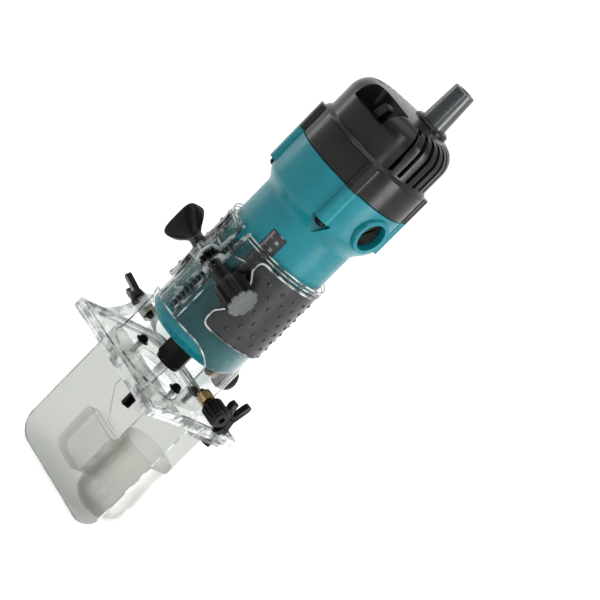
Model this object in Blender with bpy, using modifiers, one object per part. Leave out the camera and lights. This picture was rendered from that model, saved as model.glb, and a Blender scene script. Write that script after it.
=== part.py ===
"""Trim router: clear sleeve base with a chip guard, and a motor that slides in it.

Metres, +Z up along the spindle.  The origin is where the spindle axis meets the
sole.  -Y is the front with the clamp slit, +X carries the fluted depth knob.
"""

import bpy
import bmesh
from math import cos, sin, tan, radians, pi, tau
from mathutils import Matrix

# ---- driving dimensions -------------------------------------------------------
GAP = 0.0003                  # clearance between pieces that touch
ROUND = 40                    # sides of the large round pieces

BASE_X = 0.090                # sole length across
BASE_Y = 0.082                # sole depth
PROTECTOR_TOP = 0.0020
FLANGE_LOW = 0.0023
FLANGE_TOP = 0.0056
BIT_HOLE_R = 0.0150

SLEEVE_R = 0.0329
SLEEVE_BORE = 0.0313
SLEEVE_TOP = 0.104
RIM_R = 0.0342
SLIT_HALF = 0.0033
WINDOW_LOW = 0.0062
WINDOW_TOP = 0.0415

GRIP_IN = 0.0332
GRIP_OUT = 0.0340
GRIP_LOW = 0.0526
GRIP_TOP = 0.098
GRIP_FROM = 35.0              # degrees from the front, both ways
GRIP_TO = 145.0
SCALLOP_AT = 10.7             # finger room beside the knob, in degrees
SCALLOP_R = 0.0199
SCALLOP_Z = 0.0762

CROSS_Y = -0.037              # clamp screw and pinion axis
CROSS_Z = 0.079
MODULE = 0.001
PINION_TEETH = 10
PRESSURE_ANGLE = 20.0
TOOTH_TIP = 0.0008            # above the pitch line
TOOTH_ROOT = 0.0013           # below it
TOOTH_WIDTH = 0.0011          # at the pitch line, which leaves free backlash
RACK_LOW = 0.044
RACK_TOP = 0.0955

BOSS_Z = 0.0195               # axis of the three guide screws above the sole
SCREW_R = 0.00195
INSERT_R = 0.0041             # brass inserts in the bosses
POST_HOLE_R = 0.0019
BOLT_HOLE_R = 0.0024

HOUSING_R = 0.0309
HOUSING_LOW = 0.031
SHELL_R = 0.037               # upper housing and cover ring
SHELL_LOW = 0.138
SPLIT_Z = 0.161               # housing to rear cover
LUG_AT = 0.0346               # cover screws, one in each lug
LUG_ANGLES = (45, 135, 225, 315)
LUG_HALF = 0.0047
LUG_IN = 0.0297
LUG_OUT = 0.0399
DOME_R = 0.0348
DOME_TOP = 0.2085
SHOULDER_R = 0.0243           # centre of the dome's rounded shoulder
SHOULDER_Z = 0.1955
SHOULDER_H = 0.0120
LIP_Z = 0.1790                # top of the cover's wide lower band
BRUSH_Z = 0.1475

SWITCH_X = 0.0005             # toggle pivot
SWITCH_Y = -0.024
SWITCH_Z = 0.188
SWITCH_LEAN = 12.0
RECESS_FLOOR = 0.196

CORD_Y = 0.020

GUARD_FRONT = 0.0046          # chip guard plate, just behind the bit
GUARD_BACK = 0.0061
GUARD_LOW = -0.087
CUP_X = 0.017
CUP_Y = 0.0234
CUP_R = 0.017
BOLT_X = 0.0373               # wing bolt that holds the guard
BOLT_Y = 0.0276

TO_X = (0, pi / 2, 0)         # rotations that lay a turned piece's axis
TO_MINUS_X = (0, -pi / 2, 0)
TO_Y = (-pi / 2, 0, 0)
UPRIGHT_YZ = (pi / 2, 0, pi / 2)
UPRIGHT_XZ = (pi / 2, 0, 0)


# ---- scene and collections ------------------------------------------------------
def clear_scene():
    for obj in list(bpy.data.objects):
        bpy.data.objects.remove(obj, do_unlink=True)


def make_collection(name):
    collection = bpy.data.collections.new(name)
    bpy.context.scene.collection.children.link(collection)
    return collection


clear_scene()
ROUTER = make_collection("trim_router")
CUTTERS = make_collection("cutters")


def body_empty(name, at):
    empty = bpy.data.objects.new(name, None)
    empty.location = at
    ROUTER.objects.link(empty)
    return empty


# ---- materials ------------------------------------------------------------------
def material(name, color, roughness, metallic=0.0, alpha=1.0):
    mat = bpy.data.materials.new(name)
    mat.use_nodes = True
    shader = mat.node_tree.nodes["Principled BSDF"]
    shader.inputs["Base Color"].default_value = (*color, 1.0)
    shader.inputs["Roughness"].default_value = roughness
    shader.inputs["Metallic"].default_value = metallic
    shader.inputs["Alpha"].default_value = alpha
    return mat


TEAL = material("teal_plastic", (0.008, 0.23, 0.27), 0.42)
BLACK = material("black_plastic", (0.018, 0.018, 0.020), 0.45)
RUBBER = material("black_rubber", (0.03, 0.03, 0.032), 0.7)
CLEAR = material("clear_plastic", (0.85, 0.88, 0.87), 0.08, alpha=0.35)
GREY = material("grey_plastic", (0.30, 0.31, 0.31), 0.5)
SCALE = material("scale_print", (0.05, 0.05, 0.06), 0.5)
STEEL = material("steel", (0.55, 0.55, 0.56), 0.3, 1.0)
DARK_STEEL = material("dark_steel", (0.04, 0.04, 0.045), 0.4, 1.0)
BRASS = material("brass", (0.72, 0.50, 0.22), 0.35, 1.0)
COPPER = material("copper", (0.62, 0.28, 0.14), 0.4, 1.0)
CARBON = material("carbon", (0.02, 0.02, 0.02), 0.8)


# ---- shape helpers ----------------------------------------------------------------
def place(obj, at=(0, 0, 0), turn=(0, 0, 0)):
    obj.location = at
    obj.rotation_euler = turn
    return obj


def mesh_piece(name, mesh):
    obj = bpy.data.objects.new(name, mesh)
    CUTTERS.objects.link(obj)
    return obj


def finish(obj, mat, body, smooth=35.0):
    """Make obj a sub-part: own material, shading, parent empty, collection."""
    obj.data.materials.clear()
    obj.data.materials.append(mat)
    obj.data.shade_smooth()
    obj.data.set_sharp_from_angle(angle=radians(smooth))
    CUTTERS.objects.unlink(obj)
    ROUTER.objects.link(obj)
    obj.parent = body
    obj.matrix_parent_inverse = Matrix.Translation(body.location).inverted()
    return obj


def combine(target, tool, operation):
    modifier = target.modifiers.new(tool.name, "BOOLEAN")
    modifier.operation = operation
    modifier.solver = "EXACT"
    modifier.object = tool
    tool.hide_render = True
    tool.display_type = "WIRE"
    return target


def cut(target, *tools):
    for tool in tools:
        combine(target, tool, "DIFFERENCE")
    return target


def add(target, *tools):
    for tool in tools:
        combine(target, tool, "UNION")
    return target


def turned(name, profile, steps=32, sweep=360.0, solid=True):
    """Turn (radius, z) points, listed down the outer side, about Z."""
    bm = bmesh.new()
    verts = [bm.verts.new((r, 0, z)) for r, z in profile]
    for a, b in zip(verts, verts[1:]):
        bm.edges.new((a, b))
    if solid and profile[0][0] > 0:
        bm.edges.new((verts[-1], verts[0]))
    mesh = bpy.data.meshes.new(name)
    bm.to_mesh(mesh)
    bm.free()
    obj = mesh_piece(name, mesh)
    screw = obj.modifiers.new("turn", "SCREW")
    screw.angle = radians(sweep)
    screw.steps = steps
    screw.render_steps = steps
    screw.use_merge_vertices = True
    screw.merge_threshold = 0.00001
    return obj


def rod(name, radius, low, high, sides=24):
    bm = bmesh.new()
    bmesh.ops.create_cone(bm, cap_ends=True, segments=sides, radius1=radius,
                          radius2=radius, depth=high - low)
    bmesh.ops.translate(bm, vec=(0, 0, (high + low) / 2), verts=bm.verts)
    mesh = bpy.data.meshes.new(name)
    bm.to_mesh(mesh)
    bm.free()
    return mesh_piece(name, mesh)


def tube(name, outer, inner, low, high, steps=32):
    points = [(outer, high), (outer, low), (inner, low), (inner, high)]
    return turned(name, points, steps)


def box(name, low, high):
    bm = bmesh.new()
    bmesh.ops.create_cube(bm, size=1.0)
    size = [h - l for l, h in zip(low, high)]
    middle = [(h + l) / 2 for l, h in zip(low, high)]
    bmesh.ops.scale(bm, vec=size, verts=bm.verts)
    bmesh.ops.translate(bm, vec=middle, verts=bm.verts)
    mesh = bpy.data.meshes.new(name)
    bm.to_mesh(mesh)
    bm.free()
    return mesh_piece(name, mesh)


def curve_to_mesh(name, curve):
    """The curve's mesh with its caps welded; the curve object is removed."""
    source = bpy.data.objects.new(name + "_curve", curve)
    CUTTERS.objects.link(source)
    graph = bpy.context.evaluated_depsgraph_get()
    mesh = bpy.data.meshes.new_from_object(source.evaluated_get(graph))
    bpy.data.objects.remove(source, do_unlink=True)
    bm = bmesh.new()
    bm.from_mesh(mesh)
    bmesh.ops.remove_doubles(bm, verts=bm.verts, dist=0.000001)
    bmesh.ops.recalc_face_normals(bm, faces=bm.faces)
    bm.to_mesh(mesh)
    bm.free()
    return mesh_piece(name, mesh)


def slab(name, outlines, thickness):
    """A flat outline, with holes as further outlines, centred on its thickness."""
    curve = bpy.data.curves.new(name, "CURVE")
    curve.dimensions = "2D"
    curve.fill_mode = "BOTH"
    curve.extrude = thickness / 2
    for outline in outlines:
        spline = curve.splines.new("POLY")
        spline.points.add(len(outline) - 1)
        for point, (x, y) in zip(spline.points, outline):
            point.co = (x, y, 0, 1)
        spline.use_cyclic_u = True
    return curve_to_mesh(name, curve)


def wire(name, points, radius, resolution=2):
    curve = bpy.data.curves.new(name, "CURVE")
    curve.dimensions = "3D"
    curve.bevel_depth = radius
    curve.bevel_resolution = resolution
    curve.use_fill_caps = True
    spline = curve.splines.new("POLY")
    spline.points.add(len(points) - 1)
    for point, (x, y, z) in zip(spline.points, points):
        point.co = (x, y, z, 1)
    return curve_to_mesh(name, curve)


def group(name, pieces):
    """Separate solids in one object; each piece may carry modifiers."""
    graph = bpy.context.evaluated_depsgraph_get()
    bm = bmesh.new()
    for piece in pieces:
        mesh = bpy.data.meshes.new_from_object(piece.evaluated_get(graph))
        mesh.transform(piece.matrix_world)
        bm.from_mesh(mesh)
    for piece in pieces:
        bpy.data.objects.remove(piece, do_unlink=True)
    mesh = bpy.data.meshes.new(name)
    bm.to_mesh(mesh)
    bm.free()
    return mesh_piece(name, mesh)


def loft(name, rings):
    """Skin a run of equal-length point rings, with both ends capped."""
    bm = bmesh.new()
    loops = [[bm.verts.new(p) for p in ring] for ring in rings]
    count = len(loops[0])
    for lower, upper in zip(loops, loops[1:]):
        for i in range(count):
            j = (i + 1) % count
            bm.faces.new((lower[i], lower[j], upper[j], upper[i]))
    bm.faces.new(list(reversed(loops[0])))
    bm.faces.new(loops[-1])
    bmesh.ops.recalc_face_normals(bm, faces=bm.faces)
    mesh = bpy.data.meshes.new(name)
    bm.to_mesh(mesh)
    bm.free()
    return mesh_piece(name, mesh)


# ---- outline helpers --------------------------------------------------------------
def arc(x, y, r, start, end, count):
    steps = [radians(start + (end - start) * i / count) for i in range(count + 1)]
    return [(x + r * cos(a), y + r * sin(a)) for a in steps]


def circle(x, y, r, count=32):
    return arc(x, y, r, 0, 360, count)[:-1]


def rounded_box(x0, y0, x1, y1, radii, count=4):
    """Counter-clockwise from the lower left; radii in the same order."""
    a, b, c, d = radii
    points = arc(x0 + a, y0 + a, a, 180, 270, count)
    points += arc(x1 - b, y0 + b, b, 270, 360, count)
    points += arc(x1 - c, y1 - c, c, 0, 90, count)
    points += arc(x0 + d, y1 - d, d, 90, 180, count)
    return points


def fluted(outer, depth, flutes, per_flute=4):
    total = flutes * per_flute
    points = []
    for i in range(total):
        angle = tau * i / total
        dip = max(0.0, cos(flutes * angle)) * depth
        points.append(((outer - dip) * cos(angle), (outer - dip) * sin(angle)))
    return points


def bezier(start, control, end, count):
    points = []
    for i in range(count + 1):
        t = i / count
        x = (1 - t) ** 2 * start[0] + 2 * t * (1 - t) * control[0] + t * t * end[0]
        y = (1 - t) ** 2 * start[1] + 2 * t * (1 - t) * control[1] + t * t * end[1]
        points.append((x, y))
    return points


def direction(angle):
    """Plan direction, in degrees from the front (-Y) towards +X."""
    return sin(radians(angle)), -cos(radians(angle))


# ---- base ---------------------------------------------------------------------------
def sole_outline():
    half_x = BASE_X / 2
    half_y = BASE_Y / 2
    sag = 0.0025
    bow = (half_y * half_y + sag * sag) / (2 * sag)
    span = [i / 8 for i in range(-6, 8)]
    points = arc(-half_x + 0.003, -half_y + 0.003, 0.003, 180, 270, 3)
    points += arc(half_x - 0.002, -half_y + 0.002, 0.002, 270, 340, 2)
    for t in span:
        y = t * half_y
        points.append((half_x - sag + (bow - (bow * bow - y * y) ** 0.5), y))
    points += arc(half_x - 0.00395, half_y - 0.0035, 0.0035, -6, 90, 5)
    points += arc(-half_x + 0.008, half_y - 0.008, 0.008, 90, 180, 4)
    return points


def boss_outline(half_foot, r_top):
    """Upright arch over a guide screw, with flanks sweeping down to the flange."""
    foot = FLANGE_LOW + 0.001
    low = (-half_foot, FLANGE_TOP)
    join = (-r_top * cos(radians(20)), BOSS_Z + r_top * sin(radians(20)))
    left = bezier(low, (-r_top * 1.35, FLANGE_TOP + 0.002), join, 6)
    crown = arc(0, BOSS_Z, r_top, 160, 20, 8)[1:-1]
    right = [(-x, y) for x, y in reversed(left)]
    return [(-half_foot, foot)] + left + crown + right + [(half_foot, foot)]


def guide_boss(name, half_foot, r_top, near, far, side):
    """Arch between radii near and far; side is the wall it stands on."""
    tool = slab(name, [list(reversed(boss_outline(half_foot, r_top)))], far - near)
    middle = (near + far) / 2
    if side == "+y":
        return place(tool, (0, middle, 0), UPRIGHT_XZ)
    sign = 1 if side == "+x" else -1
    return place(tool, (sign * middle, 0, 0), UPRIGHT_YZ)


def screw_post(name, x, y):
    return place(rod(name, 0.0033, FLANGE_LOW + 0.001, 0.0080, 16), (x, y, 0))


def protector_screw_places():
    return [(-0.020, -0.004), (0.020, -0.004), (-0.014, 0.018), (0.014, 0.018)]


def clamp_ears():
    """Two ears beside the slit, each a barrel on a web, and the slit's rails."""
    tools = []
    for name, x0, x1 in (("left", -0.0140, -0.0036), ("right", 0.0036, 0.0098)):
        barrel = place(rod(name + "_barrel", 0.0075, x0, x1, 20), (0, CROSS_Y, CROSS_Z), TO_X)
        web = box(name + "_web", (x0 + 0.0002, CROSS_Y, CROSS_Z - 0.0070),
                  (x1 - 0.0002, -0.0285, CROSS_Z + 0.0070))
        add(web, barrel)
        tools.append(cut(web, rod("ear_relief", SLEEVE_BORE + 0.0008, 0.06, 0.10, ROUND)))
    for sign in (-1, 1):
        low, high = sorted((sign * 0.0034, sign * 0.0072))
        tools.append(box("rail", (low, -0.0352, 0.0450), (high, -0.0312, 0.1010)))
    return tools


def window_cutter(name, half_width, y0, y1):
    outline = rounded_box(-half_width, WINDOW_LOW, half_width, WINDOW_TOP,
                          (0.002, 0.002, 0.011, 0.011))
    tool = slab(name, [outline], abs(y1 - y0))
    return place(tool, (0, (y0 + y1) / 2, 0), UPRIGHT_XZ)


def base_shell(body):
    flange = slab("base_shell", [sole_outline(), circle(0, 0, BIT_HOLE_R)],
                  FLANGE_TOP - FLANGE_LOW)
    flange.location.z = (FLANGE_TOP + FLANGE_LOW) / 2
    sleeve = turned("sleeve", [
        (RIM_R, SLEEVE_TOP), (RIM_R, SLEEVE_TOP - 0.0022), (SLEEVE_R, SLEEVE_TOP - 0.0036),
        (SLEEVE_R, FLANGE_LOW + 0.001), (SLEEVE_BORE, FLANGE_LOW + 0.001),
        (SLEEVE_BORE, SLEEVE_TOP)], ROUND)
    cut(sleeve, window_cutter("front_window", 0.0305, -0.045, -0.004),
        window_cutter("rear_window", 0.0220, 0.004, 0.045))
    add(sleeve, *clamp_ears())
    add(flange, sleeve)
    add(flange, guide_boss("boss_left", 0.037, 0.0085, 0.0322, 0.0405, "-x"),
        guide_boss("boss_right", 0.020, 0.0075, 0.0322, 0.0400, "+x"),
        guide_boss("boss_rear", 0.015, 0.0075, 0.0328, 0.0385, "+y"))
    for x, y in protector_screw_places():
        add(flange, screw_post("post", x, y))
    cut(flange, box("slit", (-SLIT_HALF, -0.045, 0.0390), (SLIT_HALF, -0.028, 0.11)))
    for turn in (TO_X, TO_MINUS_X, TO_Y):
        hole = rod("insert_hole", INSERT_R + 2 * GAP, 0.0295, 0.048, 16)
        cut(flange, place(hole, (0, 0, BOSS_Z), turn))
    cut(flange, place(rod("ear_bore_left", 0.0027, -0.020, 0.0), (0, CROSS_Y, CROSS_Z), TO_X))
    cut(flange, place(rod("ear_bore_right", 0.0040, 0.0, 0.020), (0, CROSS_Y, CROSS_Z), TO_X))
    for x, y in protector_screw_places():
        cut(flange, place(rod("post_hole", POST_HOLE_R, -0.01, 0.02, 12), (x, y, 0)))
    cut(flange, place(rod("bolt_hole", BOLT_HOLE_R, -0.01, 0.02, 12), (BOLT_X, BOLT_Y, 0)))
    return finish(flange, CLEAR, body)


def base_protector(body):
    holes = [circle(x, y, POST_HOLE_R, 12) for x, y in protector_screw_places()]
    holes.append(circle(BOLT_X, BOLT_Y, BOLT_HOLE_R, 12))
    outline = [sole_outline(), circle(0, 0, BIT_HOLE_R)] + holes
    plate = slab("base_protector", outline, PROTECTOR_TOP)
    plate.location.z = PROTECTOR_TOP / 2
    return finish(plate, CLEAR, body)


def protector_screws(body):
    head = 0.0083
    points = [(0, 0.0122), (0.0017, 0.0119), (0.0027, 0.0108), (0.0028, 0.0093),
              (0.0040, 0.0092), (0.0040, head), (0.0015, head), (0.0015, 0.0008), (0, 0.0008)]
    for i, (x, y) in enumerate(protector_screw_places()):
        screw = place(turned(f"protector_screw_{i + 1}", points, 10), (x, y, 0))
        finish(screw, DARK_STEEL, body)


def brass_inserts(body):
    for side, turn, far in (("right", TO_X, 0.0397), ("left", TO_MINUS_X, 0.0402),
                            ("rear", TO_Y, 0.0382)):
        ring = tube("brass_insert_" + side, INSERT_R, 0.0024, 0.0335, far, 14)
        finish(place(ring, (0, 0, BOSS_Z), turn), BRASS, body)


def grip(name, sign, body):
    start = GRIP_FROM if sign > 0 else -GRIP_TO
    steps = 22
    surface = turned(name, [(GRIP_IN, GRIP_TOP), (GRIP_IN, GRIP_LOW)], steps,
                     GRIP_TO - GRIP_FROM, solid=False)
    surface.rotation_euler.z = radians(start - 90)
    wall = surface.modifiers.new("wall", "SOLIDIFY")
    wall.thickness = GRIP_OUT - GRIP_IN
    wall.offset = 1.0
    scallop = rod(name + "_scallop", SCALLOP_R, 0.020, 0.050, 24)
    place(scallop, (0, 0, SCALLOP_Z), (0, pi / 2, radians(sign * SCALLOP_AT - 90)))
    cut(surface, scallop)
    return finish(surface, RUBBER, body)


# ---- clamp and depth adjuster --------------------------------------------------------
def squircle(x, half_y, half_z, power, count=24):
    points = []
    for i in range(count):
        angle = tau * (i + 0.5) / count
        c, s = cos(angle), sin(angle)
        scale = (abs(c) ** power + abs(s) ** power) ** (-1 / power)
        points.append((x, CROSS_Y + half_y * scale * c, CROSS_Z + half_z * scale * s))
    return points


def clamp_knob(body):
    sections = [(-0.0143, 0.0040, 0.0040, 2.0), (-0.0190, 0.0042, 0.0042, 2.0),
                (-0.0225, 0.0052, 0.0062, 2.2), (-0.0260, 0.0066, 0.0092, 2.6),
                (-0.0290, 0.0076, 0.0112, 3.2), (-0.0312, 0.0080, 0.0120, 3.8),
                (-0.0326, 0.0077, 0.0117, 3.8), (-0.0333, 0.0066, 0.0106, 3.8)]
    knob = loft("clamp_knob", [squircle(*section) for section in sections])
    bore = place(rod("knob_bore", 0.0023, -0.0270, -0.0100, 16), (0, CROSS_Y, CROSS_Z), TO_X)
    return finish(cut(knob, bore), BLACK, body)


def clamp_screw(body):
    shank = place(rod("clamp_screw", 0.0020, -0.0265, 0.0300, 16), (0, CROSS_Y, CROSS_Z), TO_X)
    return finish(shank, STEEL, body)


def tooth_outline(teeth, pitch_r, add_h, ded_h, width):
    """Straight-sided teeth round a pinion, one of them pointing along +X."""
    slope = tan(radians(PRESSURE_ANGLE))
    root_r, tip_r = pitch_r - ded_h, pitch_r + add_h
    points = []
    for i in range(teeth):
        centre = tau * i / teeth
        for r, side in ((root_r, -1), (tip_r, -1), (tip_r, 1), (root_r, 1)):
            half = (width / 2 - (r - pitch_r) * slope) / r
            angle = centre + side * half
            points.append((r * cos(angle), r * sin(angle)))
    return points


def pinion(body):
    pitch_r = MODULE * PINION_TEETH / 2
    teeth = tooth_outline(PINION_TEETH, pitch_r, TOOTH_TIP, TOOTH_ROOT, TOOTH_WIDTH)
    wheel = slab("pinion", [teeth], 0.0062)
    place(wheel, (0, CROSS_Y, CROSS_Z), UPRIGHT_YZ)
    neck = place(rod("pinion_neck", 0.0036, 0.0, 0.0200), (0, CROSS_Y, CROSS_Z), TO_X)
    bore = place(rod("pinion_bore", 0.0024, -0.01, 0.03, 16), (0, CROSS_Y, CROSS_Z), TO_X)
    return finish(cut(add(wheel, neck), bore), DARK_STEEL, body)


def adjusting_knob(body):
    near, far = 0.0205, 0.0345
    grip_part = slab("adjusting_knob", [fluted(0.0092, 0.0010, 10, 4)], far - near)
    place(grip_part, ((near + far) / 2, CROSS_Y, CROSS_Z), UPRIGHT_YZ)
    collar = place(rod("knob_collar", 0.0056, 0.0101, 0.0215), (0, CROSS_Y, CROSS_Z), TO_X)
    add(grip_part, collar)
    socket = place(rod("knob_socket", 0.0039, 0.0, 0.0203), (0, CROSS_Y, CROSS_Z), TO_X)
    bore = place(rod("knob_bore_right", 0.0024, 0.0, 0.0305, 16), (0, CROSS_Y, CROSS_Z), TO_X)
    return finish(cut(grip_part, socket, bore), BLACK, body)


def adjusting_knob_cap(body):
    cap = slab("adjusting_knob_cap", [fluted(0.0090, 0.0010, 10, 4)], 0.0014)
    place(cap, (0.0355, CROSS_Y, CROSS_Z), UPRIGHT_YZ)
    dimple = place(rod("cap_dimple", 0.0022, 0.0357, 0.0380, 16), (0, CROSS_Y, CROSS_Z), TO_X)
    return finish(cut(cap, dimple), GREY, body)


# ---- hand screws on the base --------------------------------------------------------
def wing_outline(reach, height):
    """Both wings of a wing screw in one outline, rising along +Y from the hub."""
    lobe = 0.0028
    right = [(0.0, 0.0005), (0.0050, 0.0005)]
    right += arc(reach - lobe, height - lobe, lobe, -30, 150, 6)
    right += [(0.0022, 0.0080)]
    left = [(-x, y) for x, y in reversed(right) if x > 0]
    return right + left


def wing_screw(name, hub_at, tip_at, reach, height, turn, at, twist):
    """A shank along local +Z from tip_at to the hub, wings beyond the hub."""
    points = [(0, hub_at + 0.0060), (0.0040, hub_at + 0.0060), (0.0050, hub_at),
              (SCREW_R, hub_at), (SCREW_R, tip_at), (0, tip_at)]
    hub = turned(name + "_hub", points, 16)
    wings = slab(name, [wing_outline(reach, height)], 0.0034)
    pose = Matrix.Translation((0, 0, hub_at)) @ Matrix.Rotation(radians(twist), 4, "Z")
    wings.data.transform(pose @ Matrix.Rotation(pi / 2, 4, "X"))
    place(hub, at, turn)
    place(wings, at, turn)
    return add(wings, hub)


def left_wing_screw(body):
    screw = wing_screw("left_wing_screw", 0.0440, 0.0302, 0.0092, 0.0160, TO_MINUS_X,
                       (0, 0, BOSS_Z), -52)
    return finish(screw, BLACK, body)


def guard_wing_bolt(body):
    screw = wing_screw("guard_wing_bolt", 0.0090, -0.0060, 0.0106, 0.0168, (0, 0, 0),
                       (BOLT_X, BOLT_Y, 0), 100)
    collar = place(rod("bolt_collar", 0.0054, FLANGE_TOP + GAP, 0.0097, 20), (BOLT_X, BOLT_Y, 0))
    return finish(add(screw, collar), BLACK, body)


def right_thumb_screw(body):
    head = slab("right_thumb_screw", [fluted(0.0063, 0.0006, 14, 3)], 0.0105)
    place(head, (0.04775, 0, BOSS_Z), UPRIGHT_YZ)
    points = [(0, 0.0545), (0.0048, 0.0545), (0.0056, 0.0530), (0.0056, 0.0432),
              (0.0042, 0.0424), (0.0042, 0.0410), (SCREW_R, 0.0410),
              (SCREW_R, 0.0305), (0, 0.0305)]
    core = place(turned("thumb_core", points, 16), (0, 0, BOSS_Z), TO_X)
    socket = place(rod("thumb_socket", 0.0022, 0.0520, 0.06, 6), (0, 0, BOSS_Z), TO_X)
    return finish(cut(add(head, core), socket), BLACK, body)


def rear_thumb_knob(body):
    points = [(0, 0.0530), (0.0066, 0.0530), (0.0080, 0.0515), (0.0083, 0.0490),
              (0.0080, 0.0462), (0.0050, 0.0446), (0.0042, 0.0398), (SCREW_R, 0.0398),
              (SCREW_R, 0.0305), (0, 0.0305)]
    knob = place(turned("rear_thumb_knob", points, 20), (0, 0, BOSS_Z), TO_Y)
    return finish(knob, BLACK, body)


def guide_stud(body):
    """Short dark pin that stands out of the flange beside the wing bolt."""
    stud = place(rod("guide_stud", 0.0022, 0.0355, 0.0455, 16), (0, 0.0200, 0.0083), TO_X)
    return finish(stud, DARK_STEEL, body)


# ---- chip guard -------------------------------------------------------------------------
def chip_guard_plate(body):
    outline = rounded_box(-0.048, GUARD_LOW, 0.0392, -GAP, (0.013, 0.013, 0.0004, 0.0004))
    window = [(-0.0185, 0.0050), (-0.0185, -0.0230), (-0.0040, -0.0385), (0.0100, -0.0385),
              (0.0100, 0.0050)]
    plate = slab("chip_guard_plate", [outline], GUARD_BACK - GUARD_FRONT)
    place(plate, (0, (GUARD_FRONT + GUARD_BACK) / 2, 0), UPRIGHT_XZ)
    thinned = place(slab("guard_window", [window], 0.0016), (0, GUARD_FRONT, 0), UPRIGHT_XZ)
    foot = slab("guard_foot", [rounded_box(0.0290, 0.0050, 0.0438, 0.0340,
                                          (0.0004, 0.002, 0.004, 0.004))], 0.0020)
    foot.location.z = -GAP - 0.0010
    tab = slab("guard_tab", [rounded_box(0.0050, -0.0330, 0.0210, -0.0010,
                                         (0.0004, 0.002, 0.0004, 0.0004))], 0.0015)
    place(tab, (0.0384, 0, 0), UPRIGHT_YZ)
    hole = place(rod("foot_hole", BOLT_HOLE_R, -0.01, 0.01, 12), (BOLT_X, BOLT_Y, 0))
    return finish(cut(add(plate, foot, tab), thinned, hole), CLEAR, body)


def guard_nut(body):
    nut = tube("guard_nut", 0.0042, 0.0024, -0.0056, -0.0026, 6)
    place(nut, (BOLT_X, BOLT_Y, 0))
    return finish(nut, DARK_STEEL, body)


def dust_cup(body):
    wall = 0.0014
    bend = 0.011
    floor = -0.083
    outer = [(CUP_R, -0.034)]
    outer += [(CUP_R - bend + bend * cos(a), floor + bend - bend * sin(a))
              for a in [radians(22.5 * i) for i in range(5)]]
    inner = [(CUP_R - bend + (bend - wall) * cos(a), floor + bend - (bend - wall) * sin(a))
             for a in [radians(22.5 * i) for i in range(5)]]
    points = [(0, floor + wall)] + list(reversed(inner)) + [(CUP_R - wall, -0.034)]
    points += outer + [(0, floor)]
    cup = turned("dust_cup", points, 28)
    place(cup, (CUP_X, CUP_Y, 0))
    return finish(cup, CLEAR, body)


def chip_chute(body):
    """Open box on the front of the guard, under its thin window, that catches chips."""
    y0, y1 = -0.0046, GUARD_FRONT - GAP
    wall = 0.0014
    left, right, low, top = -0.0145, 0.0130, -0.0690, -0.0395
    outer = rounded_box(left, low, right, top, (0.007, 0.007, 0.001, 0.001))
    inner = rounded_box(left + wall, low + wall, right - wall, top + 0.01,
                        (0.006, 0.006, 0.001, 0.001))
    chute = place(slab("chip_chute", [outer], y1 - y0), (0, (y0 + y1) / 2, 0), UPRIGHT_XZ)
    depth = y1 - y0 - 2 * wall
    hollow = place(slab("chute_hollow", [inner], depth), (0, (y0 + y1) / 2, 0), UPRIGHT_XZ)
    return finish(cut(chute, hollow), CLEAR, body)


# ---- motor housing ----------------------------------------------------------------------
def lug_places():
    return [direction(angle) for angle in LUG_ANGLES]


def lug_blocks(shrink, low, high):
    """The four square-faced screw lugs between two heights."""
    outline = rounded_box(-LUG_HALF + shrink, LUG_IN, LUG_HALF - shrink, LUG_OUT - shrink,
                          (0.0015, 0.0015, 0.0020, 0.0020), 3)
    blocks = []
    for angle in LUG_ANGLES:
        block = slab("lug", [outline], high - low)
        blocks.append(place(block, (0, 0, (high + low) / 2), (0, 0, radians(angle + 180))))
    return blocks


def screw_pockets():
    """Tapering pockets under the lugs, where the heads of the cover screws sit."""
    top, low = SHELL_LOW + 0.0002, 0.1280
    outline = [(-0.0013, low), (0.0013, low), (0.0064, top), (-0.0064, top)]
    pockets = []
    for angle in LUG_ANGLES:
        pocket = slab("head_pocket", [outline], 0.0120)
        pocket.data.transform(Matrix.Translation((0, 0.0370, 0)) @ Matrix.Rotation(pi / 2, 4, "X"))
        pockets.append(place(pocket, (0, 0, 0), (0, 0, radians(angle + 180))))
    return pockets


def flare():
    """S-curve from the barrel up to the wide upper housing, top first."""
    low_z, high_z = 0.1265, SHELL_LOW
    points = []
    for i in range(6):
        t = i / 5
        ease = t * t * (3 - 2 * t)
        z = high_z - (high_z - low_z) * t
        points.append((SHELL_R - (SHELL_R - HOUSING_R) * ease, z))
    return points


def scale_pocket(name, inner, outer, low, high, half_angle):
    surface = turned(name, [(inner, high), (inner, low)], 4, 2 * half_angle, solid=False)
    surface.rotation_euler.z = radians(28 - half_angle - 90)
    wall = surface.modifiers.new("wall", "SOLIDIFY")
    wall.thickness = outer - inner
    wall.offset = 1.0
    return surface


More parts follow.
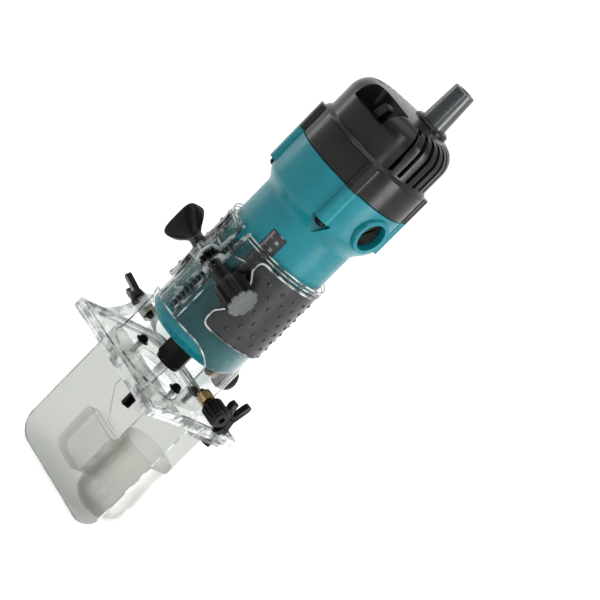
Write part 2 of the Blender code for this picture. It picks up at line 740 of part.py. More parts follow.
def motor_housing(body):
    points = [(SHELL_R, SPLIT_Z)] + flare()
    points += [(HOUSING_R, 0.0360), (0.0265, HOUSING_LOW), (0.0085, HOUSING_LOW),
               (0.0085, 0.0395), (0.0134, 0.0395), (0.0134, 0.0500), (0.0284, 0.0500),
               (0.0284, 0.1385), (0.0344, 0.1415), (0.0344, SPLIT_Z)]
    shell = turned("motor_housing", points, ROUND)
    add(shell, *lug_blocks(0.0, SHELL_LOW - 0.0001, SPLIT_Z))
    for turn in (TO_X, TO_MINUS_X):
        add(shell, place(rod("brush_boss", 0.0112, 0.0279, 0.0388, 26), (0, 0, BRUSH_Z), turn))
    cut(shell, *screw_pockets())
    for x, y in lug_places():
        at = (x * LUG_AT, y * LUG_AT, 0)
        cut(shell, place(rod("lug_hole", 0.0019, 0.1300, 0.1700, 8), at))
    for turn in (TO_X, TO_MINUS_X):
        cut(shell, place(rod("cap_seat", 0.0088, 0.0302, 0.05, 24), (0, 0, BRUSH_Z), turn))
        cut(shell, place(rod("holder_seat", 0.0063, 0.0240, 0.04, 16), (0, 0, BRUSH_Z), turn))
    cut(shell, box("rack_groove", (-0.0034, -0.0400, RACK_LOW - 0.0005),
                   (0.0034, -0.0291, RACK_TOP + 0.0005)))
    cut(shell, scale_pocket("scale_seat", 0.0300, 0.0325, 0.0795, 0.1155, 9.8))
    return finish(shell, TEAL, body)


def depth_scale(body):
    strip = scale_pocket("depth_scale", 0.0302, 0.0308, 0.0799, 0.1151, 9.2)
    return finish(strip, SCALE, body)


def rack(body):
    pitch = pi * MODULE
    pitch_y = CROSS_Y + MODULE * PINION_TEETH / 2
    slope = tan(radians(PRESSURE_ANGLE))
    tip_y, root_y = pitch_y - TOOTH_TIP, pitch_y + TOOTH_ROOT
    back = -0.0295
    points = [(back, RACK_LOW)]
    first = CROSS_Z - pitch / 2
    count = int((first - RACK_LOW - pitch / 2) / pitch)
    centre = first - count * pitch
    while centre < RACK_TOP - pitch / 2:
        for y, side in ((root_y, -1), (tip_y, -1), (tip_y, 1), (root_y, 1)):
            half = TOOTH_WIDTH / 2 + (y - pitch_y) * slope
            points.append((y, centre + side * half))
        centre += pitch
    points.insert(1, (root_y, RACK_LOW))
    points += [(root_y, RACK_TOP), (back, RACK_TOP)]
    bar = slab("rack", [points], 0.0060)
    return finish(place(bar, (0, 0, 0), UPRIGHT_YZ), DARK_STEEL, body)


# ---- rear cover ---------------------------------------------------------------------------
def dome_points(shrink):
    """Outer profile of the cover, top first, moved inwards by shrink."""
    points = [(0, DOME_TOP - shrink), (0.012, DOME_TOP - 0.0006 - shrink)]
    for i in range(5):
        a = radians(80 - 20 * i)
        points.append((SHOULDER_R + (DOME_R - SHOULDER_R - shrink) * cos(a),
                       SHOULDER_Z + (SHOULDER_H - shrink) * sin(a)))
    points += [(DOME_R - shrink, LIP_Z + 0.0025), (SHELL_R - shrink, LIP_Z)]
    return points


def dome_solid(name, shrink, low):
    points = dome_points(shrink) + [(SHELL_R - shrink, low), (0, low)]
    return turned(name, points, ROUND)


def recess_outline(grow):
    return rounded_box(-0.0130 - grow, -0.0450, 0.0140 + grow, -0.0160 + grow,
                       (0.001, 0.001, 0.004 + grow, 0.004 + grow))


def vent_cutter():
    slots = []
    for side in (-1, 1):
        for i in range(7):
            slot = box("slot", (0.0235, -0.0013, 0.1822), (0.0450, 0.0013, 0.2120))
            angle = side * (57 + 11 * i)
            slots.append(place(slot, (0, 0, 0), (0, 0, radians(angle - 90))))
    bpy.context.view_layer.update()
    return group("vent_slots", slots)


def rear_cover(body):
    wall = 0.0025
    cover = dome_solid("rear_cover", 0.0, SPLIT_Z + GAP)
    collar = turned("cord_collar", [(0, 0.2100), (0.0098, 0.2100), (0.0112, 0.2088),
                                    (0.0112, 0.2000), (0, 0.2000)], 20)
    add(cover, place(collar, (0, CORD_Y, 0)))
    add(cover, *lug_blocks(0.0, SPLIT_Z + GAP, LIP_Z - 0.0010))
    hollow = dome_solid("cover_hollow", wall, SPLIT_Z - 0.004)
    lining = slab("recess_lining", [recess_outline(0.0022)], 0.030)
    lining.location.z = RECESS_FLOOR - 0.0025 + 0.015
    cut(hollow, lining, *lug_blocks(0.0002, 0.150, 0.180))
    hollow.rotation_euler.z = pi / ROUND
    cut(cover, hollow)
    recess = slab("recess", [recess_outline(0.0)], 0.030)
    recess.location.z = RECESS_FLOOR + 0.015
    cut(cover, recess)
    cut(cover, box("lever_slot", (-0.0078, -0.0272, 0.190), (0.0088, -0.0208, 0.198)))
    cut(cover, vent_cutter())
    cut(cover, place(rod("cord_hole", 0.0082, 0.190, 0.220, 24), (0, CORD_Y, 0)))
    for x, y in lug_places():
        at = (x * LUG_AT, y * LUG_AT, 0)
        cut(cover, place(rod("thread_hole", 0.0019, 0.150, 0.1740, 8), at))
    return finish(cover, BLACK, body)


def cord_guard(body):
    points = [(0.0067, 0.2345), (0.0078, 0.2105), (0.0078, 0.2035), (0.0036, 0.2035),
              (0.0036, 0.2345)]
    return finish(place(turned("cord_guard", points, 20), (0, CORD_Y, 0)), RUBBER, body)


def cover_screws(body):
    points = [(0, 0.1725), (0.0015, 0.1725), (0.0015, SHELL_LOW - 0.0002),
              (0.0033, SHELL_LOW - 0.0002), (0.0033, 0.1358), (0.0024, 0.1348), (0, 0.1348)]
    for i, (x, y) in enumerate(lug_places()):
        screw = turned(f"cover_screw_{i + 1}", points, 8)
        finish(place(screw, (x * LUG_AT, y * LUG_AT, 0)), DARK_STEEL, body)


def switch_body(body):
    block = box("switch_body", (-0.0080, -0.0295, 0.1680), (0.0090, -0.0185, 0.1930))
    well = box("switch_well", (-0.0062, -0.0268, 0.1840), (0.0072, -0.0212, 0.1950))
    return finish(cut(block, well), BLACK, body)


def switch_lever(body):
    top = 0.0175
    half = 0.0026
    outline = [(-0.0018, 0.0040), (-0.0018, -0.0020), (0.0018, -0.0020), (0.0018, 0.0040)]
    outline += [(half, 0.0095)] + arc(0, top - half, half, 0, 180, 8) + [(-half, 0.0095)]
    lever = slab("switch_lever", [outline], 0.0050)
    lever.data.transform(Matrix.Rotation(radians(SWITCH_LEAN), 4, "Y")
                         @ Matrix.Rotation(pi / 2, 4, "X"))
    place(lever, (SWITCH_X, SWITCH_Y, SWITCH_Z))
    return finish(lever, BLACK, body)


# ---- brushes --------------------------------------------------------------------------------
def brush_cap(name, turn, body):
    points = [(0, 0.0344), (0.0060, 0.0344), (0.0066, 0.0352), (0.0078, 0.0352),
              (0.0084, 0.0344), (0.0084, 0.0305), (0.0052, 0.0305), (0.0052, 0.0300),
              (0, 0.0300)]
    cap = place(turned(name, points, 22), (0, 0, BRUSH_Z), turn)
    slot = box(name + "_slot", (-0.0055, -0.0007, 0.0332), (0.0055, 0.0007, 0.0372))
    slot.data.transform(Matrix.Rotation(radians(-40), 4, "Z"))
    place(slot, (0, 0, BRUSH_Z), turn)
    return finish(cut(cap, slot), BLACK, body)


def brush_holder(name, sign, body):
    near, far = sorted((sign * 0.0135, sign * 0.0297))
    holder = box(name, (near, -0.0042, BRUSH_Z - 0.0038), (far, 0.0042, BRUSH_Z + 0.0038))
    bore = box(name + "_bore", (near - 0.002, -0.0033, BRUSH_Z - 0.0029),
               (far + 0.002, 0.0033, BRUSH_Z + 0.0029))
    return finish(cut(holder, bore), BRASS, body)


def carbon_brush(name, sign, body):
    near, far = sorted((sign * 0.0113, sign * 0.0226))
    brush = box(name, (near, -0.0030, BRUSH_Z - 0.0026), (far, 0.0030, BRUSH_Z + 0.0026))
    return finish(brush, CARBON, body)


def brush_spring(name, sign, body):
    turns, per_turn, radius = 3, 8, 0.0020
    start, end = 0.0233, 0.0292
    total = int(turns * per_turn)
    points = []
    for i in range(total + 1):
        a = tau * i / per_turn
        x = start + (end - start) * i / total
        points.append((sign * x, radius * cos(a), BRUSH_Z + radius * sin(a)))
    return finish(wire(name, points, 0.00035, 1), STEEL, body)


# ---- motor inside -----------------------------------------------------------------------------
def field_core(body):
    core = tube("field_core", 0.0281, 0.0182, 0.0800, 0.1180, 28)
    for sign in (-1, 1):
        slot = box("coil_slot", (-0.0105, sign * 0.0160 - 0.0045, 0.070),
                   (0.0105, sign * 0.0160 + 0.0045, 0.130))
        cut(core, slot)
    return finish(core, STEEL, body)


def field_coil(name, sign, body):
    near, far = sorted((sign * 0.0182, sign * 0.0201))
    coil = box(name, (-0.0098, near, 0.0760), (0.0098, far, 0.1220))
    return finish(coil, COPPER, body)


def end_bracket(body):
    hub, rim, bore = 0.0160, 0.0265, 0.0131
    bracket = turned("end_bracket", [(hub, 0.1640), (hub, 0.1560), (rim, 0.1560),
                                     (rim, 0.1532), (bore, 0.1532), (bore, 0.1640)], 24)
    for i in range(4):
        x, y = direction(90 * i + 40)
        cut(bracket, place(rod("bracket_vent", 0.0038, 0.150, 0.158, 8),
                           (x * 0.0212, y * 0.0212, 0)))
    return finish(bracket, BLACK, body)


def bearing_sleeve(body):
    return finish(tube("bearing_sleeve", 0.0128, 0.0115, 0.1560, 0.1635, 20), RUBBER, body)


def bearing(name, outer, inner, low, high, body):
    return finish(tube(name, outer, inner, low, high, 20), STEEL, body)


def bearing_retainer(body):
    return finish(tube("bearing_retainer", 0.0129, 0.0090, 0.0486, 0.0498, 20), STEEL, body)


def armature_shaft(body):
    points = [(0, 0.1650), (0.0036, 0.1650), (0.0036, 0.1550), (0.0042, 0.1545),
              (0.0042, 0.0520), (0.0058, 0.0515), (0.0058, 0.0176), (0.0054, 0.0170),
              (0.0048, 0.0170), (0.0040, 0.0352), (0, 0.0352)]
    return finish(turned("armature_shaft", points, 16), STEEL, body)


def armature_core(body):
    return finish(tube("armature_core", 0.0170, 0.0088, 0.0820, 0.1160, 20), STEEL, body)


def armature_windings(body):
    """Wire ends above and below the core, joined through its middle."""
    points = [(0.0148, 0.1290), (0.0148, 0.1163), (0.0085, 0.1163), (0.0085, 0.0817),
              (0.0148, 0.0817), (0.0148, 0.0750), (0.0046, 0.0750), (0.0046, 0.1290)]
    return finish(turned("armature_windings", points, 16), COPPER, body)


def commutator(body):
    return finish(tube("commutator", 0.0110, 0.0048, 0.1400, 0.1520, 20), COPPER, body)


def fan(body):
    hub, rim, bore = 0.0075, 0.0250, 0.0048
    disc = turned("fan", [(hub, 0.0665), (hub, 0.0585), (rim, 0.0585), (rim, 0.0570),
                          (bore, 0.0570), (bore, 0.0665)], 20)
    blades = 8
    for i in range(blades):
        blade = box("blade", (0.0070, -0.0006, 0.0578), (0.0240, 0.0006, 0.0660))
        add(disc, place(blade, (0, 0, 0), (0, 0, tau * (i + 0.3) / blades)))
    return finish(disc, BLACK, body)


def collet_cone(body):
    points = [(0.0037, 0.0340), (0.0044, 0.0180), (0.0044, 0.0155), (0.0032, 0.0155),
              (0.0032, 0.0340)]
    return finish(turned("collet_cone", points, 16), STEEL, body)


def collet_nut(body):
    across = 0.0160
    hexagon = circle(0, 0, across / 2 / cos(pi / 6), 6)
    nut = slab("collet_nut", [hexagon], 0.0165)
    nut.location.z = 0.0135 + 0.0165 / 2
    skirt = rod("nut_skirt", 0.0077, 0.0120, 0.0290, 24)
    bore = turned("nut_bore", [(0, 0.0400), (0.0062, 0.0400), (0.0062, 0.0150),
                               (0.0034, 0.0135), (0.0034, 0.0100), (0, 0.0100)], 24)
    return finish(cut(add(nut, skirt), bore), DARK_STEEL, body)


def router_bit(body):
    points = [(0, 0.0330), (0.0029, 0.0330), (0.0029, -0.0040), (0.0022, -0.0060),
              (0.0022, -0.0100), (0.0030, -0.0110), (0.0030, -0.0225), (0.0022, -0.0230),
              (0, -0.0230)]
    bit = turned("router_bit", points, 20)
    for sign in (-1, 1):
        x0, x1 = sorted((sign * 0.0008, sign * 0.0040))
        y0, y1 = sorted((0.0, sign * -0.0060))
        cut(bit, box("flute", (x0, y0, -0.0260), (x1, y1, -0.0120)))
    return finish(bit, STEEL, body)


# ---- assembly ----------------------------------------------------------------------------------
def build_base():
    base = body_empty("base", (0, 0, 0))
    base_shell(base)
    base_protector(base)
    protector_screws(base)
    brass_inserts(base)
    grip("base_grip_right", 1, base)
    grip("base_grip_left", -1, base)
    chip_guard_plate(base)
    guard_nut(base)
    dust_cup(base)
    chip_chute(base)
    guide_stud(base)


def build_hand_screws():
    clamp = body_empty("clamp_axis", (0, CROSS_Y, CROSS_Z))
    clamp_knob(clamp)
    clamp_screw(clamp)
    adjuster = body_empty("adjuster_axis", (0, CROSS_Y, CROSS_Z))
    pinion(adjuster)
    adjusting_knob(adjuster)
    adjusting_knob_cap(adjuster)
    left_wing_screw(body_empty("left_screw_axis", (-0.040, 0, BOSS_Z)))
    right_thumb_screw(body_empty("right_screw_axis", (0.040, 0, BOSS_Z)))
    rear_thumb_knob(body_empty("rear_screw_axis", (0, 0.038, BOSS_Z)))
    guard_wing_bolt(body_empty("guard_bolt_axis", (BOLT_X, BOLT_Y, FLANGE_TOP)))


def build_motor():
    motor = body_empty("motor", (0, 0, HOUSING_LOW))
    motor_housing(motor)
    depth_scale(motor)
    rack(motor)
    rear_cover(motor)
    cord_guard(motor)
    cover_screws(motor)
    switch_body(motor)
    for name, sign in (("right", 1), ("left", -1)):
        brush_holder("brush_holder_" + name, sign, motor)
        carbon_brush("carbon_brush_" + name, sign, motor)
        brush_spring("brush_spring_" + name, sign, motor)
    field_core(motor)
    field_coil("field_coil_rear", 1, motor)
    field_coil("field_coil_front", -1, motor)
    end_bracket(motor)
    bearing_sleeve(motor)
    bearing("upper_bearing", 0.0111, 0.0039, 0.1562, 0.1632, motor)
    bearing("lower_bearing", 0.0131, 0.0061, 0.0400, 0.0480, motor)
    bearing_retainer(motor)
    brush_cap("brush_cap_right", TO_X, body_empty("right_cap_axis", (SHELL_R, 0, BRUSH_Z)))
    brush_cap("brush_cap_left", TO_MINUS_X, body_empty("left_cap_axis", (-SHELL_R, 0, BRUSH_Z)))
    switch_lever(body_empty("switch_pivot", (SWITCH_X, SWITCH_Y, SWITCH_Z)))


def build_spindle():
    spindle = body_empty("spindle", (0, 0, HOUSING_LOW))
    armature_shaft(spindle)
    armature_core(spindle)
    armature_windings(spindle)
    commutator(spindle)
    fan(spindle)
    collet_cone(spindle)
    router_bit(spindle)
    collet_nut(body_empty("nut_axis", (0, 0, 0.020)))


build_base()
build_hand_screws()
build_motor()
build_spindle()
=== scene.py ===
"""Looks of the trim router: smooth shells, rubber grips, clear base, lights, camera.

Metres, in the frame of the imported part: +Z up the spindle, the sole at z = 0,
-Y the front with the clamp slit, +X the side of the fluted depth knob.
"""

from math import ceil, cos, pi, radians, sin, tan, tau

import bmesh
import bpy
from mathutils import Matrix, Vector


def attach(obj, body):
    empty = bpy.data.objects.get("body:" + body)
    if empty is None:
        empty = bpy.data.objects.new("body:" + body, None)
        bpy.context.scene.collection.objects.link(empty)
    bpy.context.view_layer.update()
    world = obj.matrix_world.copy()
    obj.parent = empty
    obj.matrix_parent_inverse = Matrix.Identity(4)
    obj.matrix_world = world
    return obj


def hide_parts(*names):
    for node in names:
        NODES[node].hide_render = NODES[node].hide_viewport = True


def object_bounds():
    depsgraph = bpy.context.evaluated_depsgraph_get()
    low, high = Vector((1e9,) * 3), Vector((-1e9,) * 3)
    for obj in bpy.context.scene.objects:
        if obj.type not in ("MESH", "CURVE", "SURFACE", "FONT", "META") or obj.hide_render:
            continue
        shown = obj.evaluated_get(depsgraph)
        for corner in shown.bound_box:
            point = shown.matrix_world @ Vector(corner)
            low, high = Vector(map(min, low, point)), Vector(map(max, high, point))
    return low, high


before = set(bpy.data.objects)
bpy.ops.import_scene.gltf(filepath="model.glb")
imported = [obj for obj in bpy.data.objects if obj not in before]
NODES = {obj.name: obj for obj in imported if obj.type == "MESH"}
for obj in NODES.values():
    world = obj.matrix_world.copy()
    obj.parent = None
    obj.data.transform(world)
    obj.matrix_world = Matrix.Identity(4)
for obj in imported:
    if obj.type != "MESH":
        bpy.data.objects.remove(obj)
CAD_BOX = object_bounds()

# ---- dimensions shared with the CAD ----
GAP = 0.0003
ROUND = 144                    # sides of the large round pieces
BASE_X, BASE_Y = 0.090, 0.082
PROTECTOR_TOP, FLANGE_LOW, FLANGE_TOP = 0.0020, 0.0023, 0.0056
BIT_HOLE_R = 0.0150
SLEEVE_R, SLEEVE_BORE, SLEEVE_TOP, RIM_R = 0.0329, 0.0313, 0.104, 0.0342
SLIT_HALF, SLIT_LOW = 0.0033, 0.0390
WINDOW_LOW, WINDOW_TOP = 0.0062, 0.0415
FRONT_WINDOW_HALF, REAR_WINDOW_HALF = 0.0305, 0.0220
GRIP_IN, GRIP_OUT, GRIP_LOW, GRIP_TOP = 0.0332, 0.0340, 0.0526, 0.098
CROSS_Y, CROSS_Z = -0.037, 0.079
BOSS_Z = 0.0195
HOUSING_R, HOUSING_LOW = 0.0309, 0.031
SHELL_R, SHELL_LOW, SPLIT_Z = 0.037, 0.138, 0.161
LUG_ANGLES = (45, 135, 225, 315)
LUG_TURNS = [radians(angle + 180) for angle in LUG_ANGLES]
LUG_AT, LUG_HALF, LUG_IN, LUG_OUT = 0.0346, 0.0047, 0.0297, 0.0399
DOME_R, DOME_TOP = 0.0348, 0.2085
SHOULDER_R, SHOULDER_Z, SHOULDER_H, LIP_Z = 0.0243, 0.1955, 0.0120, 0.1790
BRUSH_Z = 0.1475
SWITCH_X, SWITCH_Y, SWITCH_Z, SWITCH_LEAN = 0.0005, -0.024, 0.188, 12.0
RECESS_FLOOR, RECESS_DEEP, COVER_WALL = 0.196, 0.030, 0.0025
CORD_Y = 0.020
GUARD_FRONT, GUARD_BACK, GUARD_LOW = 0.0046, 0.0061, -0.087
CUP_X, CUP_Y, CUP_R = 0.017, 0.0234, 0.017
BOLT_X, BOLT_Y, BOLT_HOLE_R, SCREW_HOLE_R = 0.0373, 0.0276, 0.0024, 0.0019
WRAP_R = 0.0344                # radius at which wrapped outlines are laid out
SCALE_ANGLE, PRINT_R = 28, 0.03082

TO_X = Matrix.Rotation(pi / 2, 4, "Y")
TO_MINUS_X = Matrix.Rotation(-pi / 2, 4, "Y")
TO_Y = Matrix.Rotation(-pi / 2, 4, "X")
STAND_Y = Matrix.Rotation(pi / 2, 4, "X")
STAND_X = Matrix.Rotation(pi / 2, 4, "Z") @ STAND_Y


def at(x, y, z):
    return Matrix.Translation((x, y, z))


def turn_z(angle):
    return Matrix.Rotation(angle, 4, "Z")


CROSS_AXIS = at(0, CROSS_Y, CROSS_Z) @ TO_X    # clamp screw, pinion and both side knobs
BOLT_AT = at(BOLT_X, BOLT_Y, 0)
CORD_AT = at(0, CORD_Y, 0)


# ---- mesh helpers ----
def put(name, data):
    obj = bpy.data.objects.new(name, data)
    bpy.context.scene.collection.objects.link(obj)
    return obj


def piece(name, bm, place=None):
    mesh = bpy.data.meshes.new(name)
    bm.to_mesh(mesh)
    bm.free()
    if place is not None:
        mesh.transform(place)
    return put(name, mesh)


def move(obj, matrix):
    obj.data.transform(matrix)
    return obj


def turned(name, profile, steps=ROUND, place=None):
    """Solid of revolution about Z; a profile that leaves the axis is closed."""
    bm = bmesh.new()
    turn = [(cos(tau * i / steps), sin(tau * i / steps)) for i in range(steps)]
    rings = []
    for r, z in profile:
        if r < 1e-7:
            rings.append([bm.verts.new((0, 0, z))])
        else:
            rings.append([bm.verts.new((r * c, r * s, z)) for c, s in turn])
    if profile[0][0] > 1e-7 and profile[-1][0] > 1e-7:
        rings.append(rings[0])
    for a, b in zip(rings, rings[1:]):
        if len(a) == 1 and len(b) == 1:
            continue
        for i in range(steps):
            j = (i + 1) % steps
            if len(a) == 1:
                bm.faces.new((a[0], b[i], b[j]))
            elif len(b) == 1:
                bm.faces.new((a[i], b[0], a[j]))
            else:
                bm.faces.new((a[i], b[i], b[j], a[j]))
    bmesh.ops.recalc_face_normals(bm, faces=bm.faces)
    return piece(name, bm, place)


def rod(name, radius, low, high, sides=48, place=None):
    bm = bmesh.new()
    bmesh.ops.create_cone(bm, cap_ends=True, segments=sides, radius1=radius,
                          radius2=radius, depth=high - low)
    bmesh.ops.translate(bm, vec=(0, 0, (high + low) / 2), verts=bm.verts)
    return piece(name, bm, place)


def box(name, low, high, place=None):
    bm = bmesh.new()
    bmesh.ops.create_cube(bm, size=1.0)
    bmesh.ops.scale(bm, vec=[h - l for l, h in zip(low, high)], verts=bm.verts)
    bmesh.ops.translate(bm, vec=[(h + l) / 2 for l, h in zip(low, high)], verts=bm.verts)
    return piece(name, bm, place)


def curve_piece(name, curve, place=None):
    source = put(name + "_curve", curve)
    graph = bpy.context.evaluated_depsgraph_get()
    mesh = bpy.data.meshes.new_from_object(source.evaluated_get(graph))
    bpy.data.objects.remove(source, do_unlink=True)
    bm = bmesh.new()
    bm.from_mesh(mesh)
    bmesh.ops.remove_doubles(bm, verts=bm.verts, dist=0.000001)
    bmesh.ops.recalc_face_normals(bm, faces=bm.faces)
    return piece(name, bm, place)


def add_spline(curve, points, closed):
    spline = curve.splines.new("POLY")
    spline.points.add(len(points) - 1)
    for point, (x, y, *z) in zip(spline.points, points):
        point.co = (x, y, z[0] if z else 0, 1)
    spline.use_cyclic_u = closed


def slab(name, outlines, thickness, place=None):
    """A flat outline, with holes as further outlines, centred on its thickness."""
    curve = bpy.data.curves.new(name, "CURVE")
    curve.dimensions = "2D"
    curve.fill_mode = "BOTH"
    curve.extrude = thickness / 2
    for outline in outlines:
        add_spline(curve, outline, True)
    return curve_piece(name, curve, place)


def wire(name, points, radius, closed=False):
    curve = bpy.data.curves.new(name, "CURVE")
    curve.dimensions = "3D"
    curve.bevel_depth = radius
    curve.bevel_resolution = 3
    curve.use_fill_caps = not closed
    add_spline(curve, points, closed)
    return curve_piece(name, curve)


def loft(name, rings):
    bm = bmesh.new()
    loops = [[bm.verts.new(p) for p in ring] for ring in rings]
    count = len(loops[0])
    for lower, upper in zip(loops, loops[1:]):
        for i in range(count):
            j = (i + 1) % count
            bm.faces.new((lower[i], lower[j], upper[j], upper[i]))
    bm.faces.new(list(reversed(loops[0])))
    bm.faces.new(loops[-1])
    bmesh.ops.recalc_face_normals(bm, faces=bm.faces)
    return piece(name, bm)


def apply_modifiers(obj):
    graph = bpy.context.evaluated_depsgraph_get()
    mesh = bpy.data.meshes.new_from_object(obj.evaluated_get(graph))
    obj.modifiers.clear()
    obj.data = mesh
    return obj


def combine(target, operation, tools):
    for tool in tools:
        modifier = target.modifiers.new(tool.name, "BOOLEAN")
        modifier.operation = operation
        modifier.solver = "EXACT"
        modifier.object = tool
    apply_modifiers(target)
    for tool in tools:
        bpy.data.objects.remove(tool, do_unlink=True)
    return target


def cut(target, *tools):
    return combine(target, "DIFFERENCE", tools)


def add(target, *tools):
    return combine(target, "UNION", tools)


def join(name, parts):
    """Put separate shells in one object."""
    bm = bmesh.new()
    for part in parts:
        bm.from_mesh(part.data)
    for part in parts:
        bpy.data.objects.remove(part, do_unlink=True)
    return piece(name, bm)


def bend_round(obj, step=0.0009):
    """Roll a slab laid out as (arc length, height, depth) round the Z axis."""
    bm = bmesh.new()
    bm.from_mesh(obj.data)
    low = min(v.co.x for v in bm.verts)
    high = max(v.co.x for v in bm.verts)
    for i in range(1, ceil((high - low) / step)):
        geometry = list(bm.verts) + list(bm.edges) + list(bm.faces)
        bmesh.ops.bisect_plane(bm, geom=geometry, plane_co=(low + i * step, 0, 0),
                               plane_no=(1, 0, 0), dist=0.0000001)
    for v in bm.verts:
        angle, radius = v.co.x / WRAP_R, v.co.z
        v.co = (radius * sin(angle), -radius * cos(angle), v.co.y)
    bmesh.ops.recalc_face_normals(bm, faces=bm.faces)
    bm.to_mesh(obj.data)
    bm.free()
    return obj


def wrapped(name, outlines, inner, outer):
    return bend_round(slab(name, outlines, outer - inner, at(0, 0, (outer + inner) / 2)))


# ---- outline helpers ----
def arc(x, y, r, start, end, count):
    steps = [radians(start + (end - start) * i / count) for i in range(count + 1)]
    return [(x + r * cos(a), y + r * sin(a)) for a in steps]


def circle(x, y, r, count=48):
    return arc(x, y, r, 0, 360, count)[:-1]


def rounded_box(x0, y0, x1, y1, radii, count=8):
    """Counter-clockwise from the lower left; radii in the same order."""
    a, b, c, d = radii
    points = arc(x0 + a, y0 + a, a, 180, 270, count)
    points += arc(x1 - b, y0 + b, b, 270, 360, count)
    points += arc(x1 - c, y1 - c, c, 0, 90, count)
    points += arc(x0 + d, y1 - d, d, 90, 180, count)
    return points


def filleted(points, radius, closed=False, count=4):
    """Round the corners of an outline; radius is a number or one per point."""
    radii = radius if isinstance(radius, (list, tuple)) else [radius] * len(points)
    made = []
    total = len(points)
    for i, p in enumerate(points):
        if not closed and i in (0, total - 1):
            made.append(p)
            continue
        here = Vector(p)
        back = Vector(points[i - 1]) - here
        ahead = Vector(points[(i + 1) % total]) - here
        turn = pi - back.angle(ahead)
        if turn < radians(8) or radii[i] <= 0:
            made.append(p)
            continue
        trim = min(radii[i] * tan(turn / 2), back.length * 0.49, ahead.length * 0.49)
        start = here + back.normalized() * trim
        end = here + ahead.normalized() * trim
        for k in range(count + 1):
            t = k / count
            q = start * (1 - t) ** 2 + here * (2 * t * (1 - t)) + end * t * t
            made.append((q.x, q.y))
    return made


def offset_outline(points, distance):
    """Move a counter-clockwise outline outwards."""
    made = []
    total = len(points)
    for i in range(total):
        before = Vector(points[i - 1])
        after = Vector(points[(i + 1) % total])
        along = after - before
        if along.length < 1e-9:
            continue
        along.normalize()
        made.append((points[i][0] + along.y * distance, points[i][1] - along.x * distance))
    return made


def bezier(start, control, end, count):
    points = []
    for i in range(count + 1):
        t = i / count
        x = (1 - t) ** 2 * start[0] + 2 * t * (1 - t) * control[0] + t * t * end[0]
        y = (1 - t) ** 2 * start[1] + 2 * t * (1 - t) * control[1] + t * t * end[1]
        points.append((x, y))
    return points


def direction(angle):
    """Plan direction, in degrees from the front (-Y) towards +X."""
    return sin(radians(angle)), -cos(radians(angle))


def fluted(outer, depth, flutes, per_flute=12):
    points = []
    for i in range(flutes * per_flute):
        angle = tau * i / (flutes * per_flute)
        dip = max(0.0, cos(flutes * angle)) ** 1.5 * depth
        points.append(((outer - dip) * cos(angle), (outer - dip) * sin(angle)))
    return points


def fluted_loft(name, ring, steps):
    """A fluted head along Z; each step is the ring's scale and its height."""
    outline = fluted(*ring)
    return loft(name, [[(x * scale, y * scale, z) for x, y in outline] for scale, z in steps])


# ---- materials ----
class Nodes:
    """Small helper around the node tree of a material or of the world."""

    def __init__(self, owner, shader="Principled BSDF", coords="Object"):
        owner.use_nodes = True
        self.owner, self.tree = owner, owner.node_tree
        self.shader = self.tree.nodes[shader]
        self.coords = self.make("ShaderNodeTexCoord").outputs[coords]

    def feed(self, node, inputs):
        """Give each input a value, or link it to the socket that drives it."""
        for key, value in inputs.items():
            if isinstance(value, bpy.types.NodeSocket):
                self.tree.links.new(value, node.inputs[key])
            else:
                node.inputs[key].default_value = value
        return node

    def make(self, kind, inputs=None, **settings):
        node = self.tree.nodes.new(kind)
        for key, value in settings.items():
            setattr(node, key, value)
        return self.feed(node, inputs or {})

    def noise(self, scale, detail, roughness=0.55, stretch=None):
        vector = self.coords
        if stretch:
            mapping = self.make("ShaderNodeMapping", {"Scale": stretch, "Vector": vector})
            vector = mapping.outputs["Vector"]
        return self.make("ShaderNodeTexNoise", {
            "Scale": scale, "Detail": detail, "Roughness": roughness,
            "Vector": vector}).outputs["Fac"]

    def spread(self, source, low, high, start=0.3, end=0.7, curve="LINEAR"):
        return self.make("ShaderNodeMapRange", {
            "Value": source, "From Min": start, "From Max": end, "To Min": low,
            "To Max": high}, interpolation_type=curve).outputs["Result"]

    def tint(self, source, first, second, start=0.3, end=0.7):
        ramp = self.make("ShaderNodeValToRGB", {"Fac": source})
        stops = zip(ramp.color_ramp.elements, (start, end), (first, second))
        for element, position, colour in stops:
            element.position = position
            element.color = (*colour, 1.0)
        return ramp.outputs["Color"]

    def bump(self, source, depth, strength, under=None):
        inputs = {"Strength": strength, "Distance": depth, "Height": source}
        if under is not None:
            inputs["Normal"] = under
        return self.make("ShaderNodeBump", inputs).outputs["Normal"]

    def power(self, source, exponent):
        return self.make("ShaderNodeMath", {0: source, 1: exponent},
                         operation="POWER").outputs[0]

    def mix(self, share, first, second):
        return self.make("ShaderNodeMixShader", {"Fac": share, 1: first, 2: second}).outputs[0]


def material(name):
    return Nodes(bpy.data.materials.new(name))


def plastic(name, dark, light, rough, grain_scale, grain_depth, specular=0.5):
    """Moulded plastic or rubber: fine spark-eroded grain and a slow colour drift."""
    n = material(name)
    grain = n.bump(n.noise(grain_scale, 2.0), grain_depth, 0.28)
    n.feed(n.shader, {
        "Base Color": n.tint(n.noise(60.0, 3.0), dark, light),
        "Roughness": n.spread(n.noise(220.0, 5.0), *rough),
        "Normal": n.bump(n.noise(45.0, 2.0), 0.00006, 0.18, grain),
        "Specular IOR Level": specular})
    return n.owner


def metal(name, dark, light, rough, stretch, metallic=1.0):
    """Turned or drawn metal with fine tool marks along one direction."""
    n = material(name)
    marks = n.noise(900.0, 4.0, 0.6, stretch)
    n.feed(n.shader, {
        "Base Color": n.tint(n.noise(150.0, 5.0), dark, light),
        "Roughness": n.spread(marks, *rough),
        "Normal": n.bump(marks, 0.00002, 0.5),
        "Metallic": metallic})
    return n.owner


